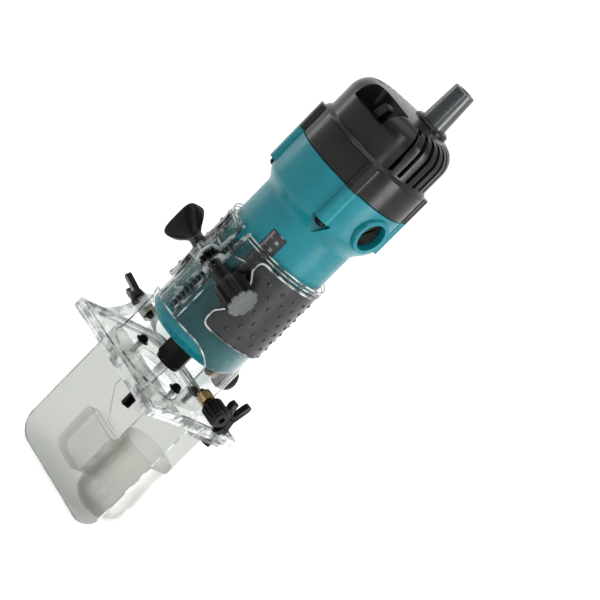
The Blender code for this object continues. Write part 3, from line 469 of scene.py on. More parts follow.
def clear(name, tint, haze_low, highlight_haze_level, haze_and_highlight_colour, rough=0.07, gloss_range=(0.05, 0.85)):
    """Clear moulding: tinted where thick, grazing faces mirror; the milky haze that grows
    towards grazing faces is a painted edge highlight.
    """
    n = material(name)
    wave = n.bump(n.noise(55.0, 2.0), 0.00010, 0.5)
    facing = n.make("ShaderNodeLayerWeight", {"Blend": 0.5, "Normal": wave}).outputs["Facing"]
    through = n.make("ShaderNodeBsdfTransparent", {"Color": n.tint(facing, *tint, 0.0, 0.45)})
    gloss = n.make("ShaderNodeBsdfGlossy", {
        "Color": (1.0, 1.0, 1.0, 1.0), "Roughness": rough, "Normal": wave})
    n.feed(n.shader, {
        "Base Color": n.tint(n.noise(130.0, 3.0), *haze_and_highlight_colour, 0.42, 0.58),
        "Roughness": n.spread(n.noise(300.0, 3.0), 0.12, 0.3),
        "Normal": wave})
    mirror = n.spread(n.power(facing, 4.0), *gloss_range, 0.0, 1.0)
    surface = n.mix(mirror, through.outputs[0], gloss.outputs[0])
    # Painted edge highlight: a whitish diffuse haze that grows towards grazing faces
    grazing_highlight_haze = n.spread(n.power(facing, 2.0), haze_low, highlight_haze_level, 0.0, 1.0)
    n.feed(n.tree.nodes["Material Output"], {
        "Surface": n.mix(grazing_highlight_haze, surface, n.shader.outputs[0])})
    return n.owner


TEAL = plastic("teal_plastic", (0.0015, 0.110, 0.134), (0.0025, 0.134, 0.160),
               (0.24, 0.34), 2600.0, 0.00003, specular=0.22)
BLACK = plastic("black_plastic", (0.0045, 0.0045, 0.0050), (0.0075, 0.0075, 0.0080),
                (0.19, 0.27), 2400.0, 0.00003, specular=0.20)
MATT_BLACK = plastic("black_moulding", (0.0035, 0.0035, 0.0040), (0.0060, 0.0060, 0.0065),
                     (0.26, 0.38), 2000.0, 0.00005, specular=0.10)
RUBBER = plastic("black_rubber", (0.007, 0.008, 0.009), (0.012, 0.013, 0.014),
                 (0.20, 0.30), 1700.0, 0.00008, specular=0.26)
HOSE = plastic("cord_guard_rubber", (0.022, 0.026, 0.028), (0.032, 0.036, 0.038),
               (0.22, 0.32), 1500.0, 0.00003)
GREY = plastic("grey_plastic", (0.040, 0.046, 0.044), (0.060, 0.067, 0.065),
               (0.42, 0.55), 1200.0, 0.00005, specular=0.3)
SCALE = plastic("scale_print", (0.012, 0.012, 0.016), (0.022, 0.021, 0.026),
                (0.35, 0.5), 1500.0, 0.00003, specular=0.3)
MARKS = plastic("scale_marks", (0.26, 0.26, 0.27), (0.42, 0.42, 0.43),
                (0.4, 0.5), 1500.0, 0.00002)
STEEL = metal("steel", (0.42, 0.42, 0.41), (0.55, 0.55, 0.54), (0.18, 0.34), (1, 1, 0.06))
DARK_STEEL = metal("dark_steel", (0.003, 0.003, 0.0035), (0.008, 0.008, 0.009),
                   (0.26, 0.40), (1, 1, 0.1), metallic=0.92)
BLUED_STEEL = metal("blued_steel", (0.020, 0.034, 0.044), (0.034, 0.054, 0.066),
                    (0.30, 0.42), (1, 1, 0.1), metallic=0.3)
BRASS = metal("brass", (0.34, 0.20, 0.08), (0.48, 0.31, 0.14), (0.22, 0.40), (1, 1, 0.2))
COPPER = metal("copper", (0.45, 0.17, 0.08), (0.62, 0.26, 0.12), (0.28, 0.45), (1, 1, 0.3))
CARBON = plastic("carbon", (0.010, 0.010, 0.010), (0.020, 0.020, 0.020),
                 (0.55, 0.75), 900.0, 0.00006)
CLEAR = clear("clear_plastic", ((0.58, 0.62, 0.615), (0.97, 0.975, 0.965)), 0.0, 0.12,
              ((0.30, 0.32, 0.31), (0.55, 0.57, 0.56)), gloss_range=(0.012, 0.60))
# Milky edge finish: its whitish haze paints the bright edge highlights of the clear mouldings on
# cut faces, rims, lips and raised lines
CLEAR_EDGE_HIGHLIGHT = clear("clear_plastic_edge_highlight", ((0.55, 0.57, 0.56), (0.70, 0.73, 0.72)), 0.50, 0.80,
                   ((0.035, 0.040, 0.040), (0.68, 0.70, 0.69)), 0.12)
SHEET = clear("clear_sheet", ((0.625, 0.635, 0.615), (0.64, 0.65, 0.63)), 0.02, 0.30,
              ((0.42, 0.43, 0.41), (0.52, 0.53, 0.51)), 0.10, (0.03, 0.7))
CUP = clear("clear_cup", ((0.975, 0.978, 0.965), (0.84, 0.845, 0.825)), 0.0, 0.55,
            ((0.12, 0.13, 0.12), (0.62, 0.63, 0.61)), 0.08)


# ---- giving a piece its finish ----
def shade(obj, angle=32.0):
    obj.data.shade_smooth()
    obj.data.set_sharp_from_angle(angle=radians(angle))
    return obj


def bevel(obj, width, segments=2, angle=38.0):
    modifier = obj.modifiers.new("edge", "BEVEL")
    modifier.width = width
    modifier.segments = segments
    modifier.limit_method = "ANGLE"
    modifier.angle_limit = radians(angle)
    modifier.harden_normals = True
    modifier.use_clamp_overlap = True
    return obj


def dress(obj, body, mat, slot, *nodes, edge=0.0, smooth=32.0):
    obj.data.materials.clear()
    obj.data.materials.append(mat)
    shade(obj, smooth)
    if edge:
        bevel(obj, edge)
    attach(obj, body)
    if nodes:
        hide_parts(*nodes)
    return obj


def keep(node, mat, edge=0.0):
    """Show a CAD node as it is, with a finished material."""
    obj = NODES[node]
    obj.data.materials.clear()
    obj.data.materials.append(mat)
    if edge:
        bevel(obj, edge)
    return obj


def second_finish(obj, mat, chosen):
    """Give another finish to the faces that chosen(centre, normal) picks."""
    obj.data.materials.append(mat)
    for face in obj.data.polygons:
        if chosen(face.center, face.normal):
            face.material_index = 1


# ---- motor housing and cover ----
def lug_places():
    return [direction(angle) for angle in LUG_ANGLES]


def lug_blocks(shrink, low, high, rounding=0.0):
    """The four square-faced screw lugs between two heights, with a rounded top."""
    plan = rounded_box(-LUG_HALF + shrink, LUG_IN, LUG_HALF - shrink, LUG_OUT - shrink,
                       (0.0015, 0.0015, 0.0034, 0.0034), 8)
    half = LUG_HALF - shrink
    blocks = []
    for turn in LUG_TURNS:
        block = slab("lug", [plan], high - low, at(0, 0, (high + low) / 2))
        if rounding:
            face = rounded_box(-half - 0.001, low - 0.001, half + 0.001, high,
                               (0.0001, 0.0001, rounding, rounding), 12)
            combine(block, "INTERSECT", [slab("arch", [face], 0.030, at(0, 0.035, 0) @ STAND_Y)])
        blocks.append(move(block, turn_z(turn)))
    return blocks


def screw_pockets():
    top, low = SHELL_LOW + 0.0002, 0.1280
    outline = filleted([(-0.0013, low), (0.0013, low), (0.0064, top), (-0.0064, top)],
                       [0.0010, 0.0010, 0, 0], True)
    return [move(slab("head_pocket", [outline], 0.0120, at(0, SHELL_R, 0) @ STAND_Y),
                 turn_z(turn)) for turn in LUG_TURNS]


def flare():
    """The housing's S-shaped step from the upper shell down to the barrel."""
    low_z, high_z, count = 0.1265, SHELL_LOW, 18
    points = []
    for i in range(count + 1):
        t = i / count
        ease = t * t * (3 - 2 * t)
        points.append((SHELL_R - (SHELL_R - HOUSING_R) * ease,
                       high_z - (high_z - low_z) * t))
    return points


def scale_seat(inner, outer, low, high, half_angle):
    middle, half = radians(SCALE_ANGLE) * WRAP_R, radians(half_angle) * WRAP_R
    outline = rounded_box(middle - half, low, middle + half, high, (0.0006,) * 4, 3)
    return wrapped("scale_seat", [outline], inner, outer)


def motor_housing():
    outside = [(SHELL_R - 0.0004, SPLIT_Z), (SHELL_R, SPLIT_Z - 0.0004)] + flare()
    outside += filleted([(HOUSING_R, 0.1260), (HOUSING_R, 0.0360), (0.0265, HOUSING_LOW),
                         (0.0085, HOUSING_LOW)], 0.0012)
    inside = [(0.0085, 0.0395), (0.0134, 0.0395), (0.0134, 0.0500), (0.0284, 0.0500),
              (0.0284, 0.1385), (0.0344, 0.1415), (0.0344, SPLIT_Z)]
    shell = turned("housing_shell", outside + inside)
    lugs, pockets = lug_blocks(0.0, SHELL_LOW - 0.0001, SPLIT_Z), screw_pockets()
    for x, y in lug_places():
        pockets.append(rod("hole", 0.0019, 0.1300, 0.1700, 20, at(x * LUG_AT, y * LUG_AT, 0)))
    for turn in (TO_X, TO_MINUS_X):
        place = at(0, 0, BRUSH_Z) @ turn
        ring = [(0, 0.0279), (0.0112, 0.0279), (0.0112, 0.0380), (0.0109, 0.0386),
                (0.0103, 0.0388), (0, 0.0388)]
        lugs.append(turned("brush_ring", ring, 72, place))
        for r, near in ((0.0088, 0.0302), (0.0063, 0.0240)):
            pockets.append(rod("seat", r, near, 0.05, place=place))
    add(shell, *lugs)
    pockets.append(box("rack_groove", (-0.0034, -0.04, 0.0435), (0.0034, -0.0291, 0.0960)))
    pockets.append(scale_seat(0.0300, 0.0325, 0.0795, 0.1155, 9.8))
    cut(shell, *pockets)
    dress(shell, "motor", TEAL, "teal_plastic", "motor_housing", edge=0.00025)


def dome_profile(shrink):
    """Half section of the cover, from the dome's top down to below the lip."""
    count = 14
    points = [(0, DOME_TOP - shrink), (0.012, DOME_TOP - 0.0006 - shrink)]
    for i in range(count + 1):
        a = radians(82 - 82 * i / count)
        points.append((SHOULDER_R + (DOME_R - SHOULDER_R - shrink) * cos(a),
                       SHOULDER_Z + (SHOULDER_H - shrink) * sin(a)))
    lip = [(DOME_R - shrink, 0.1900), (DOME_R - shrink, LIP_Z + 0.0025),
           (SHELL_R - shrink, LIP_Z), (SHELL_R - shrink, 0.1700)]
    return points + filleted(lip, 0.0016)


def recess_outline(grow):
    return rounded_box(-0.0130 - grow, -0.0450, 0.0140 + grow, -0.0160 + grow,
                       (0.001, 0.001, 0.004 + grow, 0.004 + grow))


def vent_cutters():
    slots = []
    for side in (-1, 1):
        for i in range(7):
            outline = [(-0.0013, 0.1822), (0.0013, 0.1822), (0.0013, 0.2120), (-0.0013, 0.2120)]
            slot = slab("slot", [filleted(outline, 0.0006, True)], 0.0215,
                        at(0.03425, 0, 0) @ STAND_X)
            slots.append(move(slot, turn_z(radians(side * (57 + 11 * i) - 90))))
    return slots


def rear_cover():
    low = SPLIT_Z + GAP
    ring = [(SHELL_R, low + 0.0004), (SHELL_R - 0.0004, low), (0, low)]
    cover = turned("cover_shell", dome_profile(0.0) + ring)
    collar = turned("collar", filleted([(0, 0.2100), (0.0098, 0.2100), (0.0112, 0.2088),
                                        (0.0112, 0.2000), (0, 0.2000)], 0.0008), 72, CORD_AT)
    add(cover, collar, *lug_blocks(0.0, low, LIP_Z - 0.0004, 0.0030))
    hollow = turned("hollow", dome_profile(COVER_WALL) + [(SHELL_R - COVER_WALL, 0.157),
                                                          (0, 0.157)])
    lining = slab("lining", [recess_outline(0.0022)], RECESS_DEEP,
                  at(0, 0, RECESS_FLOOR - COVER_WALL + RECESS_DEEP / 2))
    cut(hollow, lining, *lug_blocks(0.0002, 0.150, 0.180))
    cut(cover, move(hollow, turn_z(pi / ROUND)))
    recess = slab("recess", [recess_outline(0.0)], RECESS_DEEP,
                  at(0, 0, RECESS_FLOOR + RECESS_DEEP / 2))
    slot = box("lever_slot", (-0.0078, -0.0272, 0.190), (0.0088, -0.0208, 0.198))
    cut(cover, recess, slot, rod("cord_hole", 0.0082, 0.190, 0.220, place=CORD_AT))
    cut(cover, *vent_cutters())
    dress(cover, "motor", BLACK, "black_plastic", "rear_cover", edge=0.0005)


def cord_guard():
    outside = filleted([(0.0036, 0.2345), (0.0067, 0.2345), (0.0078, 0.2105),
                        (0.0078, 0.2035), (0.0036, 0.2035)], 0.0008)
    guard = turned("cord_sleeve", outside, 72, CORD_AT)
    dress(guard, "motor", HOSE, "black_rubber", "cord_guard")


def cross_recess(reach, low, high):
    """Two crossed bars that cut a screw's drive."""
    slim = 0.0003
    return [box("cross", (-reach, -slim, low), (reach, slim, high)),
            box("cross", (-slim, -reach, low), (slim, reach, high))]


def cover_screws():
    for i, (x, y) in enumerate(lug_places()):
        head = [(0, 0.1725), (0.0015, 0.1725), (0.0015, 0.1378), (0.0033, 0.1378),
                (0.0033, 0.1358), (0.0024, 0.1348), (0, 0.1348)]
        screw = turned("screw", filleted(head, 0.0003), 32)
        cut(screw, *cross_recess(0.0016, 0.1340, 0.1358))
        screw.name = f"cover_screw_head_{i + 1}"
        move(screw, at(x * LUG_AT, y * LUG_AT, 0))
        dress(screw, "motor", DARK_STEEL, "dark_steel", f"cover_screw_{i + 1}")


def switch_lever():
    half, top = 0.0026, 0.0175
    outline = [(-0.0018, 0.0040), (-0.0018, -0.0020), (0.0018, -0.0020), (0.0018, 0.0040),
               (half, 0.0095)]
    outline += arc(0, top - half, half, 0, 180, 20) + [(-half, 0.0095)]
    lean = Matrix.Rotation(radians(SWITCH_LEAN), 4, "Y")
    lever = slab("toggle_lever", [outline], 0.0050,
                 at(SWITCH_X, SWITCH_Y, SWITCH_Z) @ lean @ STAND_Y)
    dress(lever, "toggle", BLACK, "black_plastic", "switch_lever", edge=0.0006)


def brush_caps():
    profile = [(0, 0.0342), (0.0058, 0.0342), (0.0063, 0.0352), (0.0078, 0.0352),
               (0.0084, 0.0344), (0.0084, 0.0305), (0.0052, 0.0305), (0.0052, 0.0300),
               (0, 0.0300)]
    for side, turn in (("right", TO_X), ("left", TO_MINUS_X)):
        cap = turned("cap", filleted(profile, 0.0004), 72)
        slot = box("slot", (-0.0056, -0.0008, 0.0330), (0.0056, 0.0008, 0.0372),
                   turn_z(radians(-40)))
        cut(cap, slot, *[box("notch", (0.0066, -0.0004, 0.0348), (0.0074, 0.0004, 0.0362),
                             turn_z(tau * k / 12)) for k in range(12)])
        cap.name = "slotted_cap_" + side
        move(cap, at(0, 0, BRUSH_Z) @ turn)
        dress(cap, side + "_cap", MATT_BLACK, "black_plastic", "brush_cap_" + side,
              edge=0.00015)


def printed_number(text, arc_at, z):
    """A number rolled on to the scale's surface."""
    curve = bpy.data.curves.new("number", "FONT")
    curve.body = text
    curve.size = 0.0026
    curve.align_x = curve.align_y = "CENTER"
    curve.extrude = 0.00006
    return bend_round(curve_piece("number", curve, at(arc_at, z, PRINT_R)), 0.0004)


def depth_scale():
    strip = scale_seat(0.0302, 0.0308, 0.0799, 0.1151, 9.2)
    strip.name = "scale_strip"
    dress(strip, "motor", SCALE, "scale_print", "depth_scale", edge=0.0001)
    middle = radians(SCALE_ANGLE) * WRAP_R
    start, half = middle - 0.0050, 0.0001
    marks = []
    for i in range(34):
        z = 0.0812 + i * 0.001
        end = start + (0.0030 if i % 5 == 0 else 0.0017)
        tick = [(start, z - half), (end, z - half), (end, z + half), (start, z + half)]
        marks.append(bend_round(slab("tick", [tick], 0.00012, at(0, 0, PRINT_R)), 0.0006))
    for i in range(8):
        marks.append(printed_number(str(i * 5), middle + 0.0018, 0.0806 + i * 0.005))
    dress(join("scale_numbers", marks), "motor", MARKS, "scale_print")


# ---- rubber grips ----
def grip_outline(grow=0.0):
    """Counter-clockwise outline of the right grip as (arc length, height)."""
    s0, s1, waist = radians(35) * WRAP_R, radians(145) * WRAP_R, 0.0762
    scallop = arc(s0 - 0.0146, waist, 0.0211, 44, -44, 22)
    corners = [(s0, GRIP_TOP), (s0, scallop[0][1] + 0.0012)] + scallop
    corners += [(s0, scallop[-1][1] - 0.0012), (s0, GRIP_LOW), (s1, GRIP_LOW), (s1, GRIP_TOP)]
    radii = [0.0045, 0.0030] + [0.0] * len(scallop) + [0.0030, 0.0055, 0.0055, 0.0055]
    points = filleted(corners, radii, True, 6)
    return offset_outline(points, grow) if grow else points


def grip(side, sign):
    parts = [apply_modifiers(bevel(wrapped("pad", [grip_outline()], GRIP_IN, GRIP_OUT),
                                   0.0005, 3))]
    dome = [(0.00130 * cos(radians(a)), 0.00072 * sin(radians(a))) for a in (0, 18, 36, 54, 72)]
    stud = [(0, -0.0005), (0.0013, -0.0005)] + dome + [(0, 0.00072)]
    for i in range(11):
        angle = radians(53.7 + 8.55 * i)
        heights = (0.0922, 0.0809, 0.0696, 0.0582) if i % 2 == 0 else (0.0865, 0.0752, 0.0639)
        for z in heights:
            place = at(0, 0, z) @ turn_z(angle - pi / 2) @ TO_X @ at(0, 0, GRIP_OUT - 0.00005)
            parts.append(turned("stud", stud, 20, place))
    pad = join("rubber_grip_" + side, parts)
    # A clear lip round the pad in the milky edge finish, which paints a highlight line round the
    # grip
    lip_inner, lip_outer = grip_outline(0.00035), grip_outline(0.00125)
    lip = wrapped("grip_lip_" + side, [lip_outer, lip_inner], SLEEVE_R - 0.0002, 0.0346)
    for obj in (pad, lip):
        if sign < 0:
            move(obj, Matrix.Scale(-1, 4, (1, 0, 0)))
            obj.data.flip_normals()
    dress(pad, "base", RUBBER, "black_rubber", "base_grip_" + side)
    dress(lip, "base", CLEAR_EDGE_HIGHLIGHT, "clear_plastic", edge=0.0002)


# ---- clear base ----
def sole_outline():
    half_x, half_y, sag = BASE_X / 2, BASE_Y / 2, 0.0025
    bow = (half_y * half_y + sag * sag) / (2 * sag)
    points = arc(-half_x + 0.003, -half_y + 0.003, 0.003, 180, 270, 8)
    points += arc(half_x - 0.002, -half_y + 0.002, 0.002, 270, 340, 6)
    for i in range(-18, 22):
        y = i / 24 * half_y
        points.append((half_x - sag + (bow - (bow * bow - y * y) ** 0.5), y))
    points += arc(half_x - 0.00395, half_y - 0.0035, 0.0035, -6, 90, 10)
    points += arc(-half_x + 0.008, half_y - 0.008, 0.008, 90, 180, 14)
    return points


def boss_outline(half_foot, r_top):
    foot = FLANGE_LOW + 0.001
    low = (-half_foot, FLANGE_TOP)
    join_at = (-r_top * cos(radians(20)), BOSS_Z + r_top * sin(radians(20)))
    left = bezier(low, (-r_top * 1.35, FLANGE_TOP + 0.002), join_at, 20)
    crown = arc(0, BOSS_Z, r_top, 160, 20, 30)[1:-1]
    right = [(-x, y) for x, y in reversed(left)]
    return [(-half_foot, foot)] + left + crown + right + [(half_foot, foot)]


def guide_boss(half_foot, r_top, near, far, toward, stand):
    outline = list(reversed(boss_outline(half_foot, r_top)))
    place = at(*(Vector(toward) * ((near + far) / 2))) @ stand
    return slab("boss", [outline], far - near, place)


def protector_screw_places():
    return [(-0.020, -0.004), (0.020, -0.004), (-0.014, 0.018), (0.014, 0.018)]


def window_outline(half_width):
    return rounded_box(-half_width, WINDOW_LOW, half_width, WINDOW_TOP,
                       (0.002, 0.002, 0.011, 0.011), 12)


def upright(name, outline, y_front, y_back):
    """A block with an (x, z) outline, between two depths."""
    return slab(name, [outline], y_back - y_front, at(0, (y_front + y_back) / 2, 0) @ STAND_Y)


def clamp_ears():
    tools, back = [], -0.0285
    for sign, x0, x1 in ((-1, -0.0140, -0.0036), (1, 0.0036, 0.0098)):
        barrel = turned("barrel", filleted([(0, x0), (0.0075, x0), (0.0075, x1), (0, x1)],
                                           0.0006), 56, CROSS_AXIS)
        left, right, low, high = x0 + 0.0002, x1 - 0.0002, CROSS_Z - 0.0122, CROSS_Z + 0.0122
        if sign < 0:
            outline = [(left, low + 0.0055), (x0 + 0.0042, low), (right, low), (right, high),
                       (x0 + 0.0042, high), (left, high - 0.0055)]
        else:
            outline = [(left, low), (x1 - 0.0032, low), (right, low + 0.0050),
                       (right, high - 0.0050), (x1 - 0.0032, high), (left, high)]
        web = upright("prism", outline, -0.0362, back)
        inner = box("core", (x0 + 0.0006, CROSS_Y, CROSS_Z - 0.0070),
                    (x1 - 0.0006, back, CROSS_Z + 0.0070))
        add(web, barrel, inner)
        tools.append(cut(web, rod("relief", SLEEVE_BORE + 0.0008, 0.05, 0.11, ROUND)))
    for sign in (-1, 1):
        low, high = sorted((sign * 0.0034, sign * 0.0072))
        tools.append(box("rail", (low, -0.0352, 0.0450), (high, -0.0312, 0.1010)))
    return tools


def outer_rim(centre, normal):
    """Upright faces outside the sleeve."""
    return abs(normal.z) < 0.4 and centre.x * centre.x + centre.y * centre.y > 0.030 ** 2


def base_shell():
    base = slab("clear_base", [sole_outline(), circle(0, 0, BIT_HOLE_R, 96)],
                FLANGE_TOP - FLANGE_LOW, at(0, 0, (FLANGE_TOP + FLANGE_LOW) / 2))
    profile = [(SLEEVE_BORE + 0.0003, SLEEVE_TOP), (RIM_R, SLEEVE_TOP),
               (RIM_R, SLEEVE_TOP - 0.0022), (SLEEVE_R, SLEEVE_TOP - 0.0036),
               (SLEEVE_R, FLANGE_LOW + 0.001), (SLEEVE_BORE, FLANGE_LOW + 0.001),
               (SLEEVE_BORE, SLEEVE_TOP - 0.0003)]
    sleeve = turned("sleeve", filleted(profile, 0.0004, True, 3))
    cut(sleeve, upright("window", window_outline(FRONT_WINDOW_HALF), -0.045, -0.004),
        upright("window", window_outline(REAR_WINDOW_HALF), 0.004, 0.045))
    add(sleeve, *clamp_ears())
    add(base, sleeve)
    add(base, guide_boss(0.037, 0.0085, 0.0322, 0.0405, (-1, 0, 0), STAND_X),
        guide_boss(0.020, 0.0075, 0.0322, 0.0400, (1, 0, 0), STAND_X),
        guide_boss(0.015, 0.0075, 0.0328, 0.0385, (0, 1, 0), STAND_Y))
    post = filleted([(0, 0.0033), (0.0036, 0.0033), (0.0033, 0.0080), (0, 0.0080)], 0.0003)
    posts = [turned("post", post, 32, at(x, y, 0)) for x, y in protector_screw_places()]
    near, low, top = BIT_HOLE_R + 0.0001, FLANGE_LOW + 0.001, FLANGE_TOP + 0.0012
    ring = turned("hole_ring", filleted([(near, low), (BIT_HOLE_R + 0.0022, low),
                                         (BIT_HOLE_R + 0.0020, top), (near, top)],
                                        0.0004, True), 96)
    add(base, ring, *posts)
    holes = [box("slit", (-SLIT_HALF, -0.045, SLIT_LOW), (SLIT_HALF, -0.028, 0.11))]
    for turn in (TO_X, TO_MINUS_X, TO_Y):
        holes.append(rod("insert_hole", 0.0045, 0.0295, 0.048, 32, at(0, 0, BOSS_Z) @ turn))
    for radius, x0, x1 in ((0.0027, -0.020, 0.0), (0.0040, 0.0, 0.020)):
        holes.append(rod("ear_bore", radius, x0, x1, 32, CROSS_AXIS))
    for x, y in protector_screw_places():
        holes.append(rod("post_hole", SCREW_HOLE_R, -0.01, 0.02, 24, at(x, y, 0)))
    holes.append(rod("bolt_hole", BOLT_HOLE_R, -0.01, 0.02, 24, BOLT_AT))
    cut(base, *holes)
    dress(base, "base", CLEAR, "clear_plastic", "base_shell", edge=0.00025)

    # Faces given the milky edge finish, a painted edge highlight: the bosses' flanks, the slit's
    # faces and the flange's outer rim
    def highlight_edge_faces(centre, normal):
        x, y, z = centre
        flank = FLANGE_TOP < z < 0.029 and abs(x) > 0.0335 and abs(normal.x) < 0.3
        slit = z > SLIT_LOW and y < -0.029 and abs(x) < 0.0037 and abs(normal.x) > 0.7
        return flank or slit or (z < FLANGE_TOP and outer_rim(centre, normal))

    second_finish(base, CLEAR_EDGE_HIGHLIGHT, highlight_edge_faces)


def base_trim():
    """Raised lines on the clear sleeve: ear frame, scale pocket, gussets and ribs; their milky
    finish is a painted edge highlight, and the wires round the windows and the sleeve's top are
    painted highlight lines.
    """
    lines = []

    def on_sleeve(points, radius, lift=0.0001):
        """A line through (angle, height) points."""
        path, r = [], SLEEVE_R + lift
        for (a0, z0), (a1, z1) in zip(points, points[1:]):
            count = max(2, ceil(abs(a1 - a0) / 2))
            path += [(a0 + (a1 - a0) * k / count, z0 + (z1 - z0) * k / count)
                     for k in range(count)]
        path = [(*direction(a), z) for a, z in path + points[-1:]]
        lines.append(wire("line", [(x * r, y * r, z) for x, y, z in path], radius))

    on_sleeve(filleted([(-31.5, 0.1018), (-31.5, 0.0870), (-9.0, 0.0870), (-6.6, 0.0930),
                        (-6.6, 0.1018)], [0, 1.5, 2.0, 3.0, 0], False, 5), 0.0007)
    on_sleeve([(-24.5, 0.0855), (-24.5, 0.0920)], 0.0011, 0.0002)
    on_sleeve([(-24.0, 0.0405), (-24.0, 0.0650)], 0.0006)
    on_sleeve(filleted([(-6.2, 0.0550), (-13.6, 0.0516), (-23.5, 0.0545)], 1.0), 0.0005)
    on_sleeve([(6.2, 0.0900), (6.2, 0.1018)], 0.0005)
    for points in ([(12.5, 0.0895), (22.5, 0.0918)], [(40.5, 0.0990), (144.0, 0.0990)],
                   [(-40.5, 0.0990), (-144.0, 0.0990)], [(12.4, 0.0640), (12.4, 0.0430)]):
        on_sleeve(points, 0.0004)
    # Milky wires along each window's cut edge: painted highlight lines
    for sign, half_width in ((-1, FRONT_WINDOW_HALF), (1, REAR_WINDOW_HALF)):
        opening = window_outline(half_width)
        edge, last = [], opening[-1]
        for x, z in opening:
            count = max(1, ceil(abs(x - last[0]) / 0.0015))
            for k in range(1, count + 1):
                between = last[0] + (x - last[0]) * k / count
                edge.append((between, sign * (SLEEVE_R ** 2 - between ** 2) ** 0.5,
                             last[1] + (z - last[1]) * k / count))
            last = (x, z)
        lines.append(wire("window_edge_highlight", edge, 0.0005, True))
    inset = [(x, y, FLANGE_TOP + 0.0001) for x, y in offset_outline(sole_outline(), -0.0028)]
    lines.append(wire("inset", inset, 0.0004, True))
    # Two milky wires round the sleeve's top: painted highlight lines on the rim
    for drop, radius in ((0.0004, 0.0004), (0.0026, 0.0003)):
        on_sleeve([(7.0, SLEEVE_TOP - drop), (353.0, SLEEVE_TOP - drop)], radius, 0.0012)
    dress(join("sleeve_lines_and_highlights", lines), "base", CLEAR_EDGE_HIGHLIGHT, "clear_plastic")


def base_protector():
    holes = [circle(x, y, SCREW_HOLE_R, 24) for x, y in protector_screw_places()]
    holes.append(circle(BOLT_X, BOLT_Y, BOLT_HOLE_R, 24))
    plate = slab("sole_plate", [sole_outline(), circle(0, 0, BIT_HOLE_R, 96)] + holes,
                 PROTECTOR_TOP, at(0, 0, PROTECTOR_TOP / 2))
    dress(plate, "base", CLEAR, "clear_plastic", "base_protector", edge=0.0003)
    # The plate's outer rim takes the milky edge finish: a painted edge highlight
    second_finish(plate, CLEAR_EDGE_HIGHLIGHT, outer_rim)


def protector_screws():
    profile = [(0, 0.0122), (0.0014, 0.0120), (0.0023, 0.0114), (0.0027, 0.0106),
               (0.0028, 0.0093), (0.0040, 0.0092), (0.0040, 0.0083), (0.0015, 0.0083),
               (0.0015, 0.0008), (0, 0.0008)]
    for i, (x, y) in enumerate(protector_screw_places()):
        screw = turned("screw", filleted(profile, 0.0003), 40)
        cut(screw, *cross_recess(0.0015, 0.0110, 0.0125))
        screw.name = f"sole_screw_{i + 1}"
        move(screw, at(x, y, 0) @ turn_z(0.4 + i))
        dress(screw, "base", DARK_STEEL, "dark_steel", f"protector_screw_{i + 1}")
        second_finish(screw, STEEL, lambda centre, normal: centre.z < 0.0083)


# ---- knobs and hand screws ----
def squircle(x, half_y, half_z, power, count=96):
    points = []
    for i in range(count):
        angle = tau * (i + 0.5) / count
        c, s = cos(angle), sin(angle)
        scale = (abs(c) ** power + abs(s) ** power) ** (-1 / power)
        points.append((x, CROSS_Y + half_y * scale * c, CROSS_Z + half_z * scale * s))
    return points


def blend_sections(sections, per_gap=5):
    """Smooth the run of sections with Catmull-Rom steps."""
    made = []
    last = len(sections) - 1
    for i in range(last):
        p0, p1 = sections[max(i - 1, 0)], sections[i]
        p2, p3 = sections[i + 1], sections[min(i + 2, last)]
        for k in range(per_gap):
            t = k / per_gap
            made.append(tuple(0.5 * (2 * b + (c - a) * t + (2 * a - 5 * b + 4 * c - d) * t * t
                                     + (3 * b - a - 3 * c + d) * t ** 3)
                              for a, b, c, d in zip(p0, p1, p2, p3)))
    made.append(sections[-1])
    return made


def clamp_knob():
    sections = [(-0.0143, 0.0038, 0.0038, 2.0), (-0.0146, 0.0041, 0.0041, 2.0),
                (-0.0190, 0.0042, 0.0042, 2.0), (-0.0225, 0.0052, 0.0062, 2.2),
                (-0.0260, 0.0066, 0.0092, 2.6), (-0.0290, 0.0076, 0.0112, 3.2),
                (-0.0312, 0.0080, 0.0120, 3.8), (-0.0325, 0.0078, 0.0118, 3.8),
                (-0.0331, 0.0072, 0.0112, 3.8), (-0.0333, 0.0062, 0.0102, 3.8)]
    knob = loft("flared_knob", [squircle(*s) for s in blend_sections(sections)])
    cut(knob, rod("bore", 0.0023, -0.0270, -0.0100, 32, CROSS_AXIS))
    dress(knob, "clamp", MATT_BLACK, "black_plastic", "clamp_knob", smooth=50)


def adjusting_knob():
    near, far = 0.0205, 0.0345
    knob = fluted_loft("fluted_knob", (0.0092, 0.0012, 10), [
        (0.90, near), (0.97, near + 0.0003), (1.0, near + 0.0010), (1.0, far - 0.0008),
        (0.98, far - 0.0002), (0.95, far)])
    collar = turned("collar", filleted([(0, 0.0101), (0.0056, 0.0101), (0.0056, 0.0215),
                                        (0, 0.0215)], 0.0005), 48)
    add(knob, collar)
    cut(knob, rod("socket", 0.0039, 0.0, 0.0203, 32), rod("bore", 0.0024, 0.0, 0.0305, 32))
    move(knob, CROSS_AXIS)
    dress(knob, "adjuster", MATT_BLACK, "black_plastic", "adjusting_knob", smooth=40)
    cap = fluted_loft("knob_face", (0.0090, 0.0011, 10),
                      [(0.97, 0.0348), (1.0, 0.0351), (1.0, 0.0359), (0.97, 0.0362)])
    dimple = turned("dimple", [(0, 0.0357), (0.0009, 0.0357), (0.0020, 0.0363), (0.0024, 0.0380),
                               (0, 0.0380)], 32)
    groove = turned("groove", [(0.0062, 0.0364), (0.0062, 0.0361), (0.0066, 0.0361),
                               (0.0066, 0.0364)], 48)
    cut(cap, dimple, groove)
    move(cap, CROSS_AXIS)
    dress(cap, "adjuster", GREY, "grey_plastic", "adjusting_knob_cap", smooth=40)


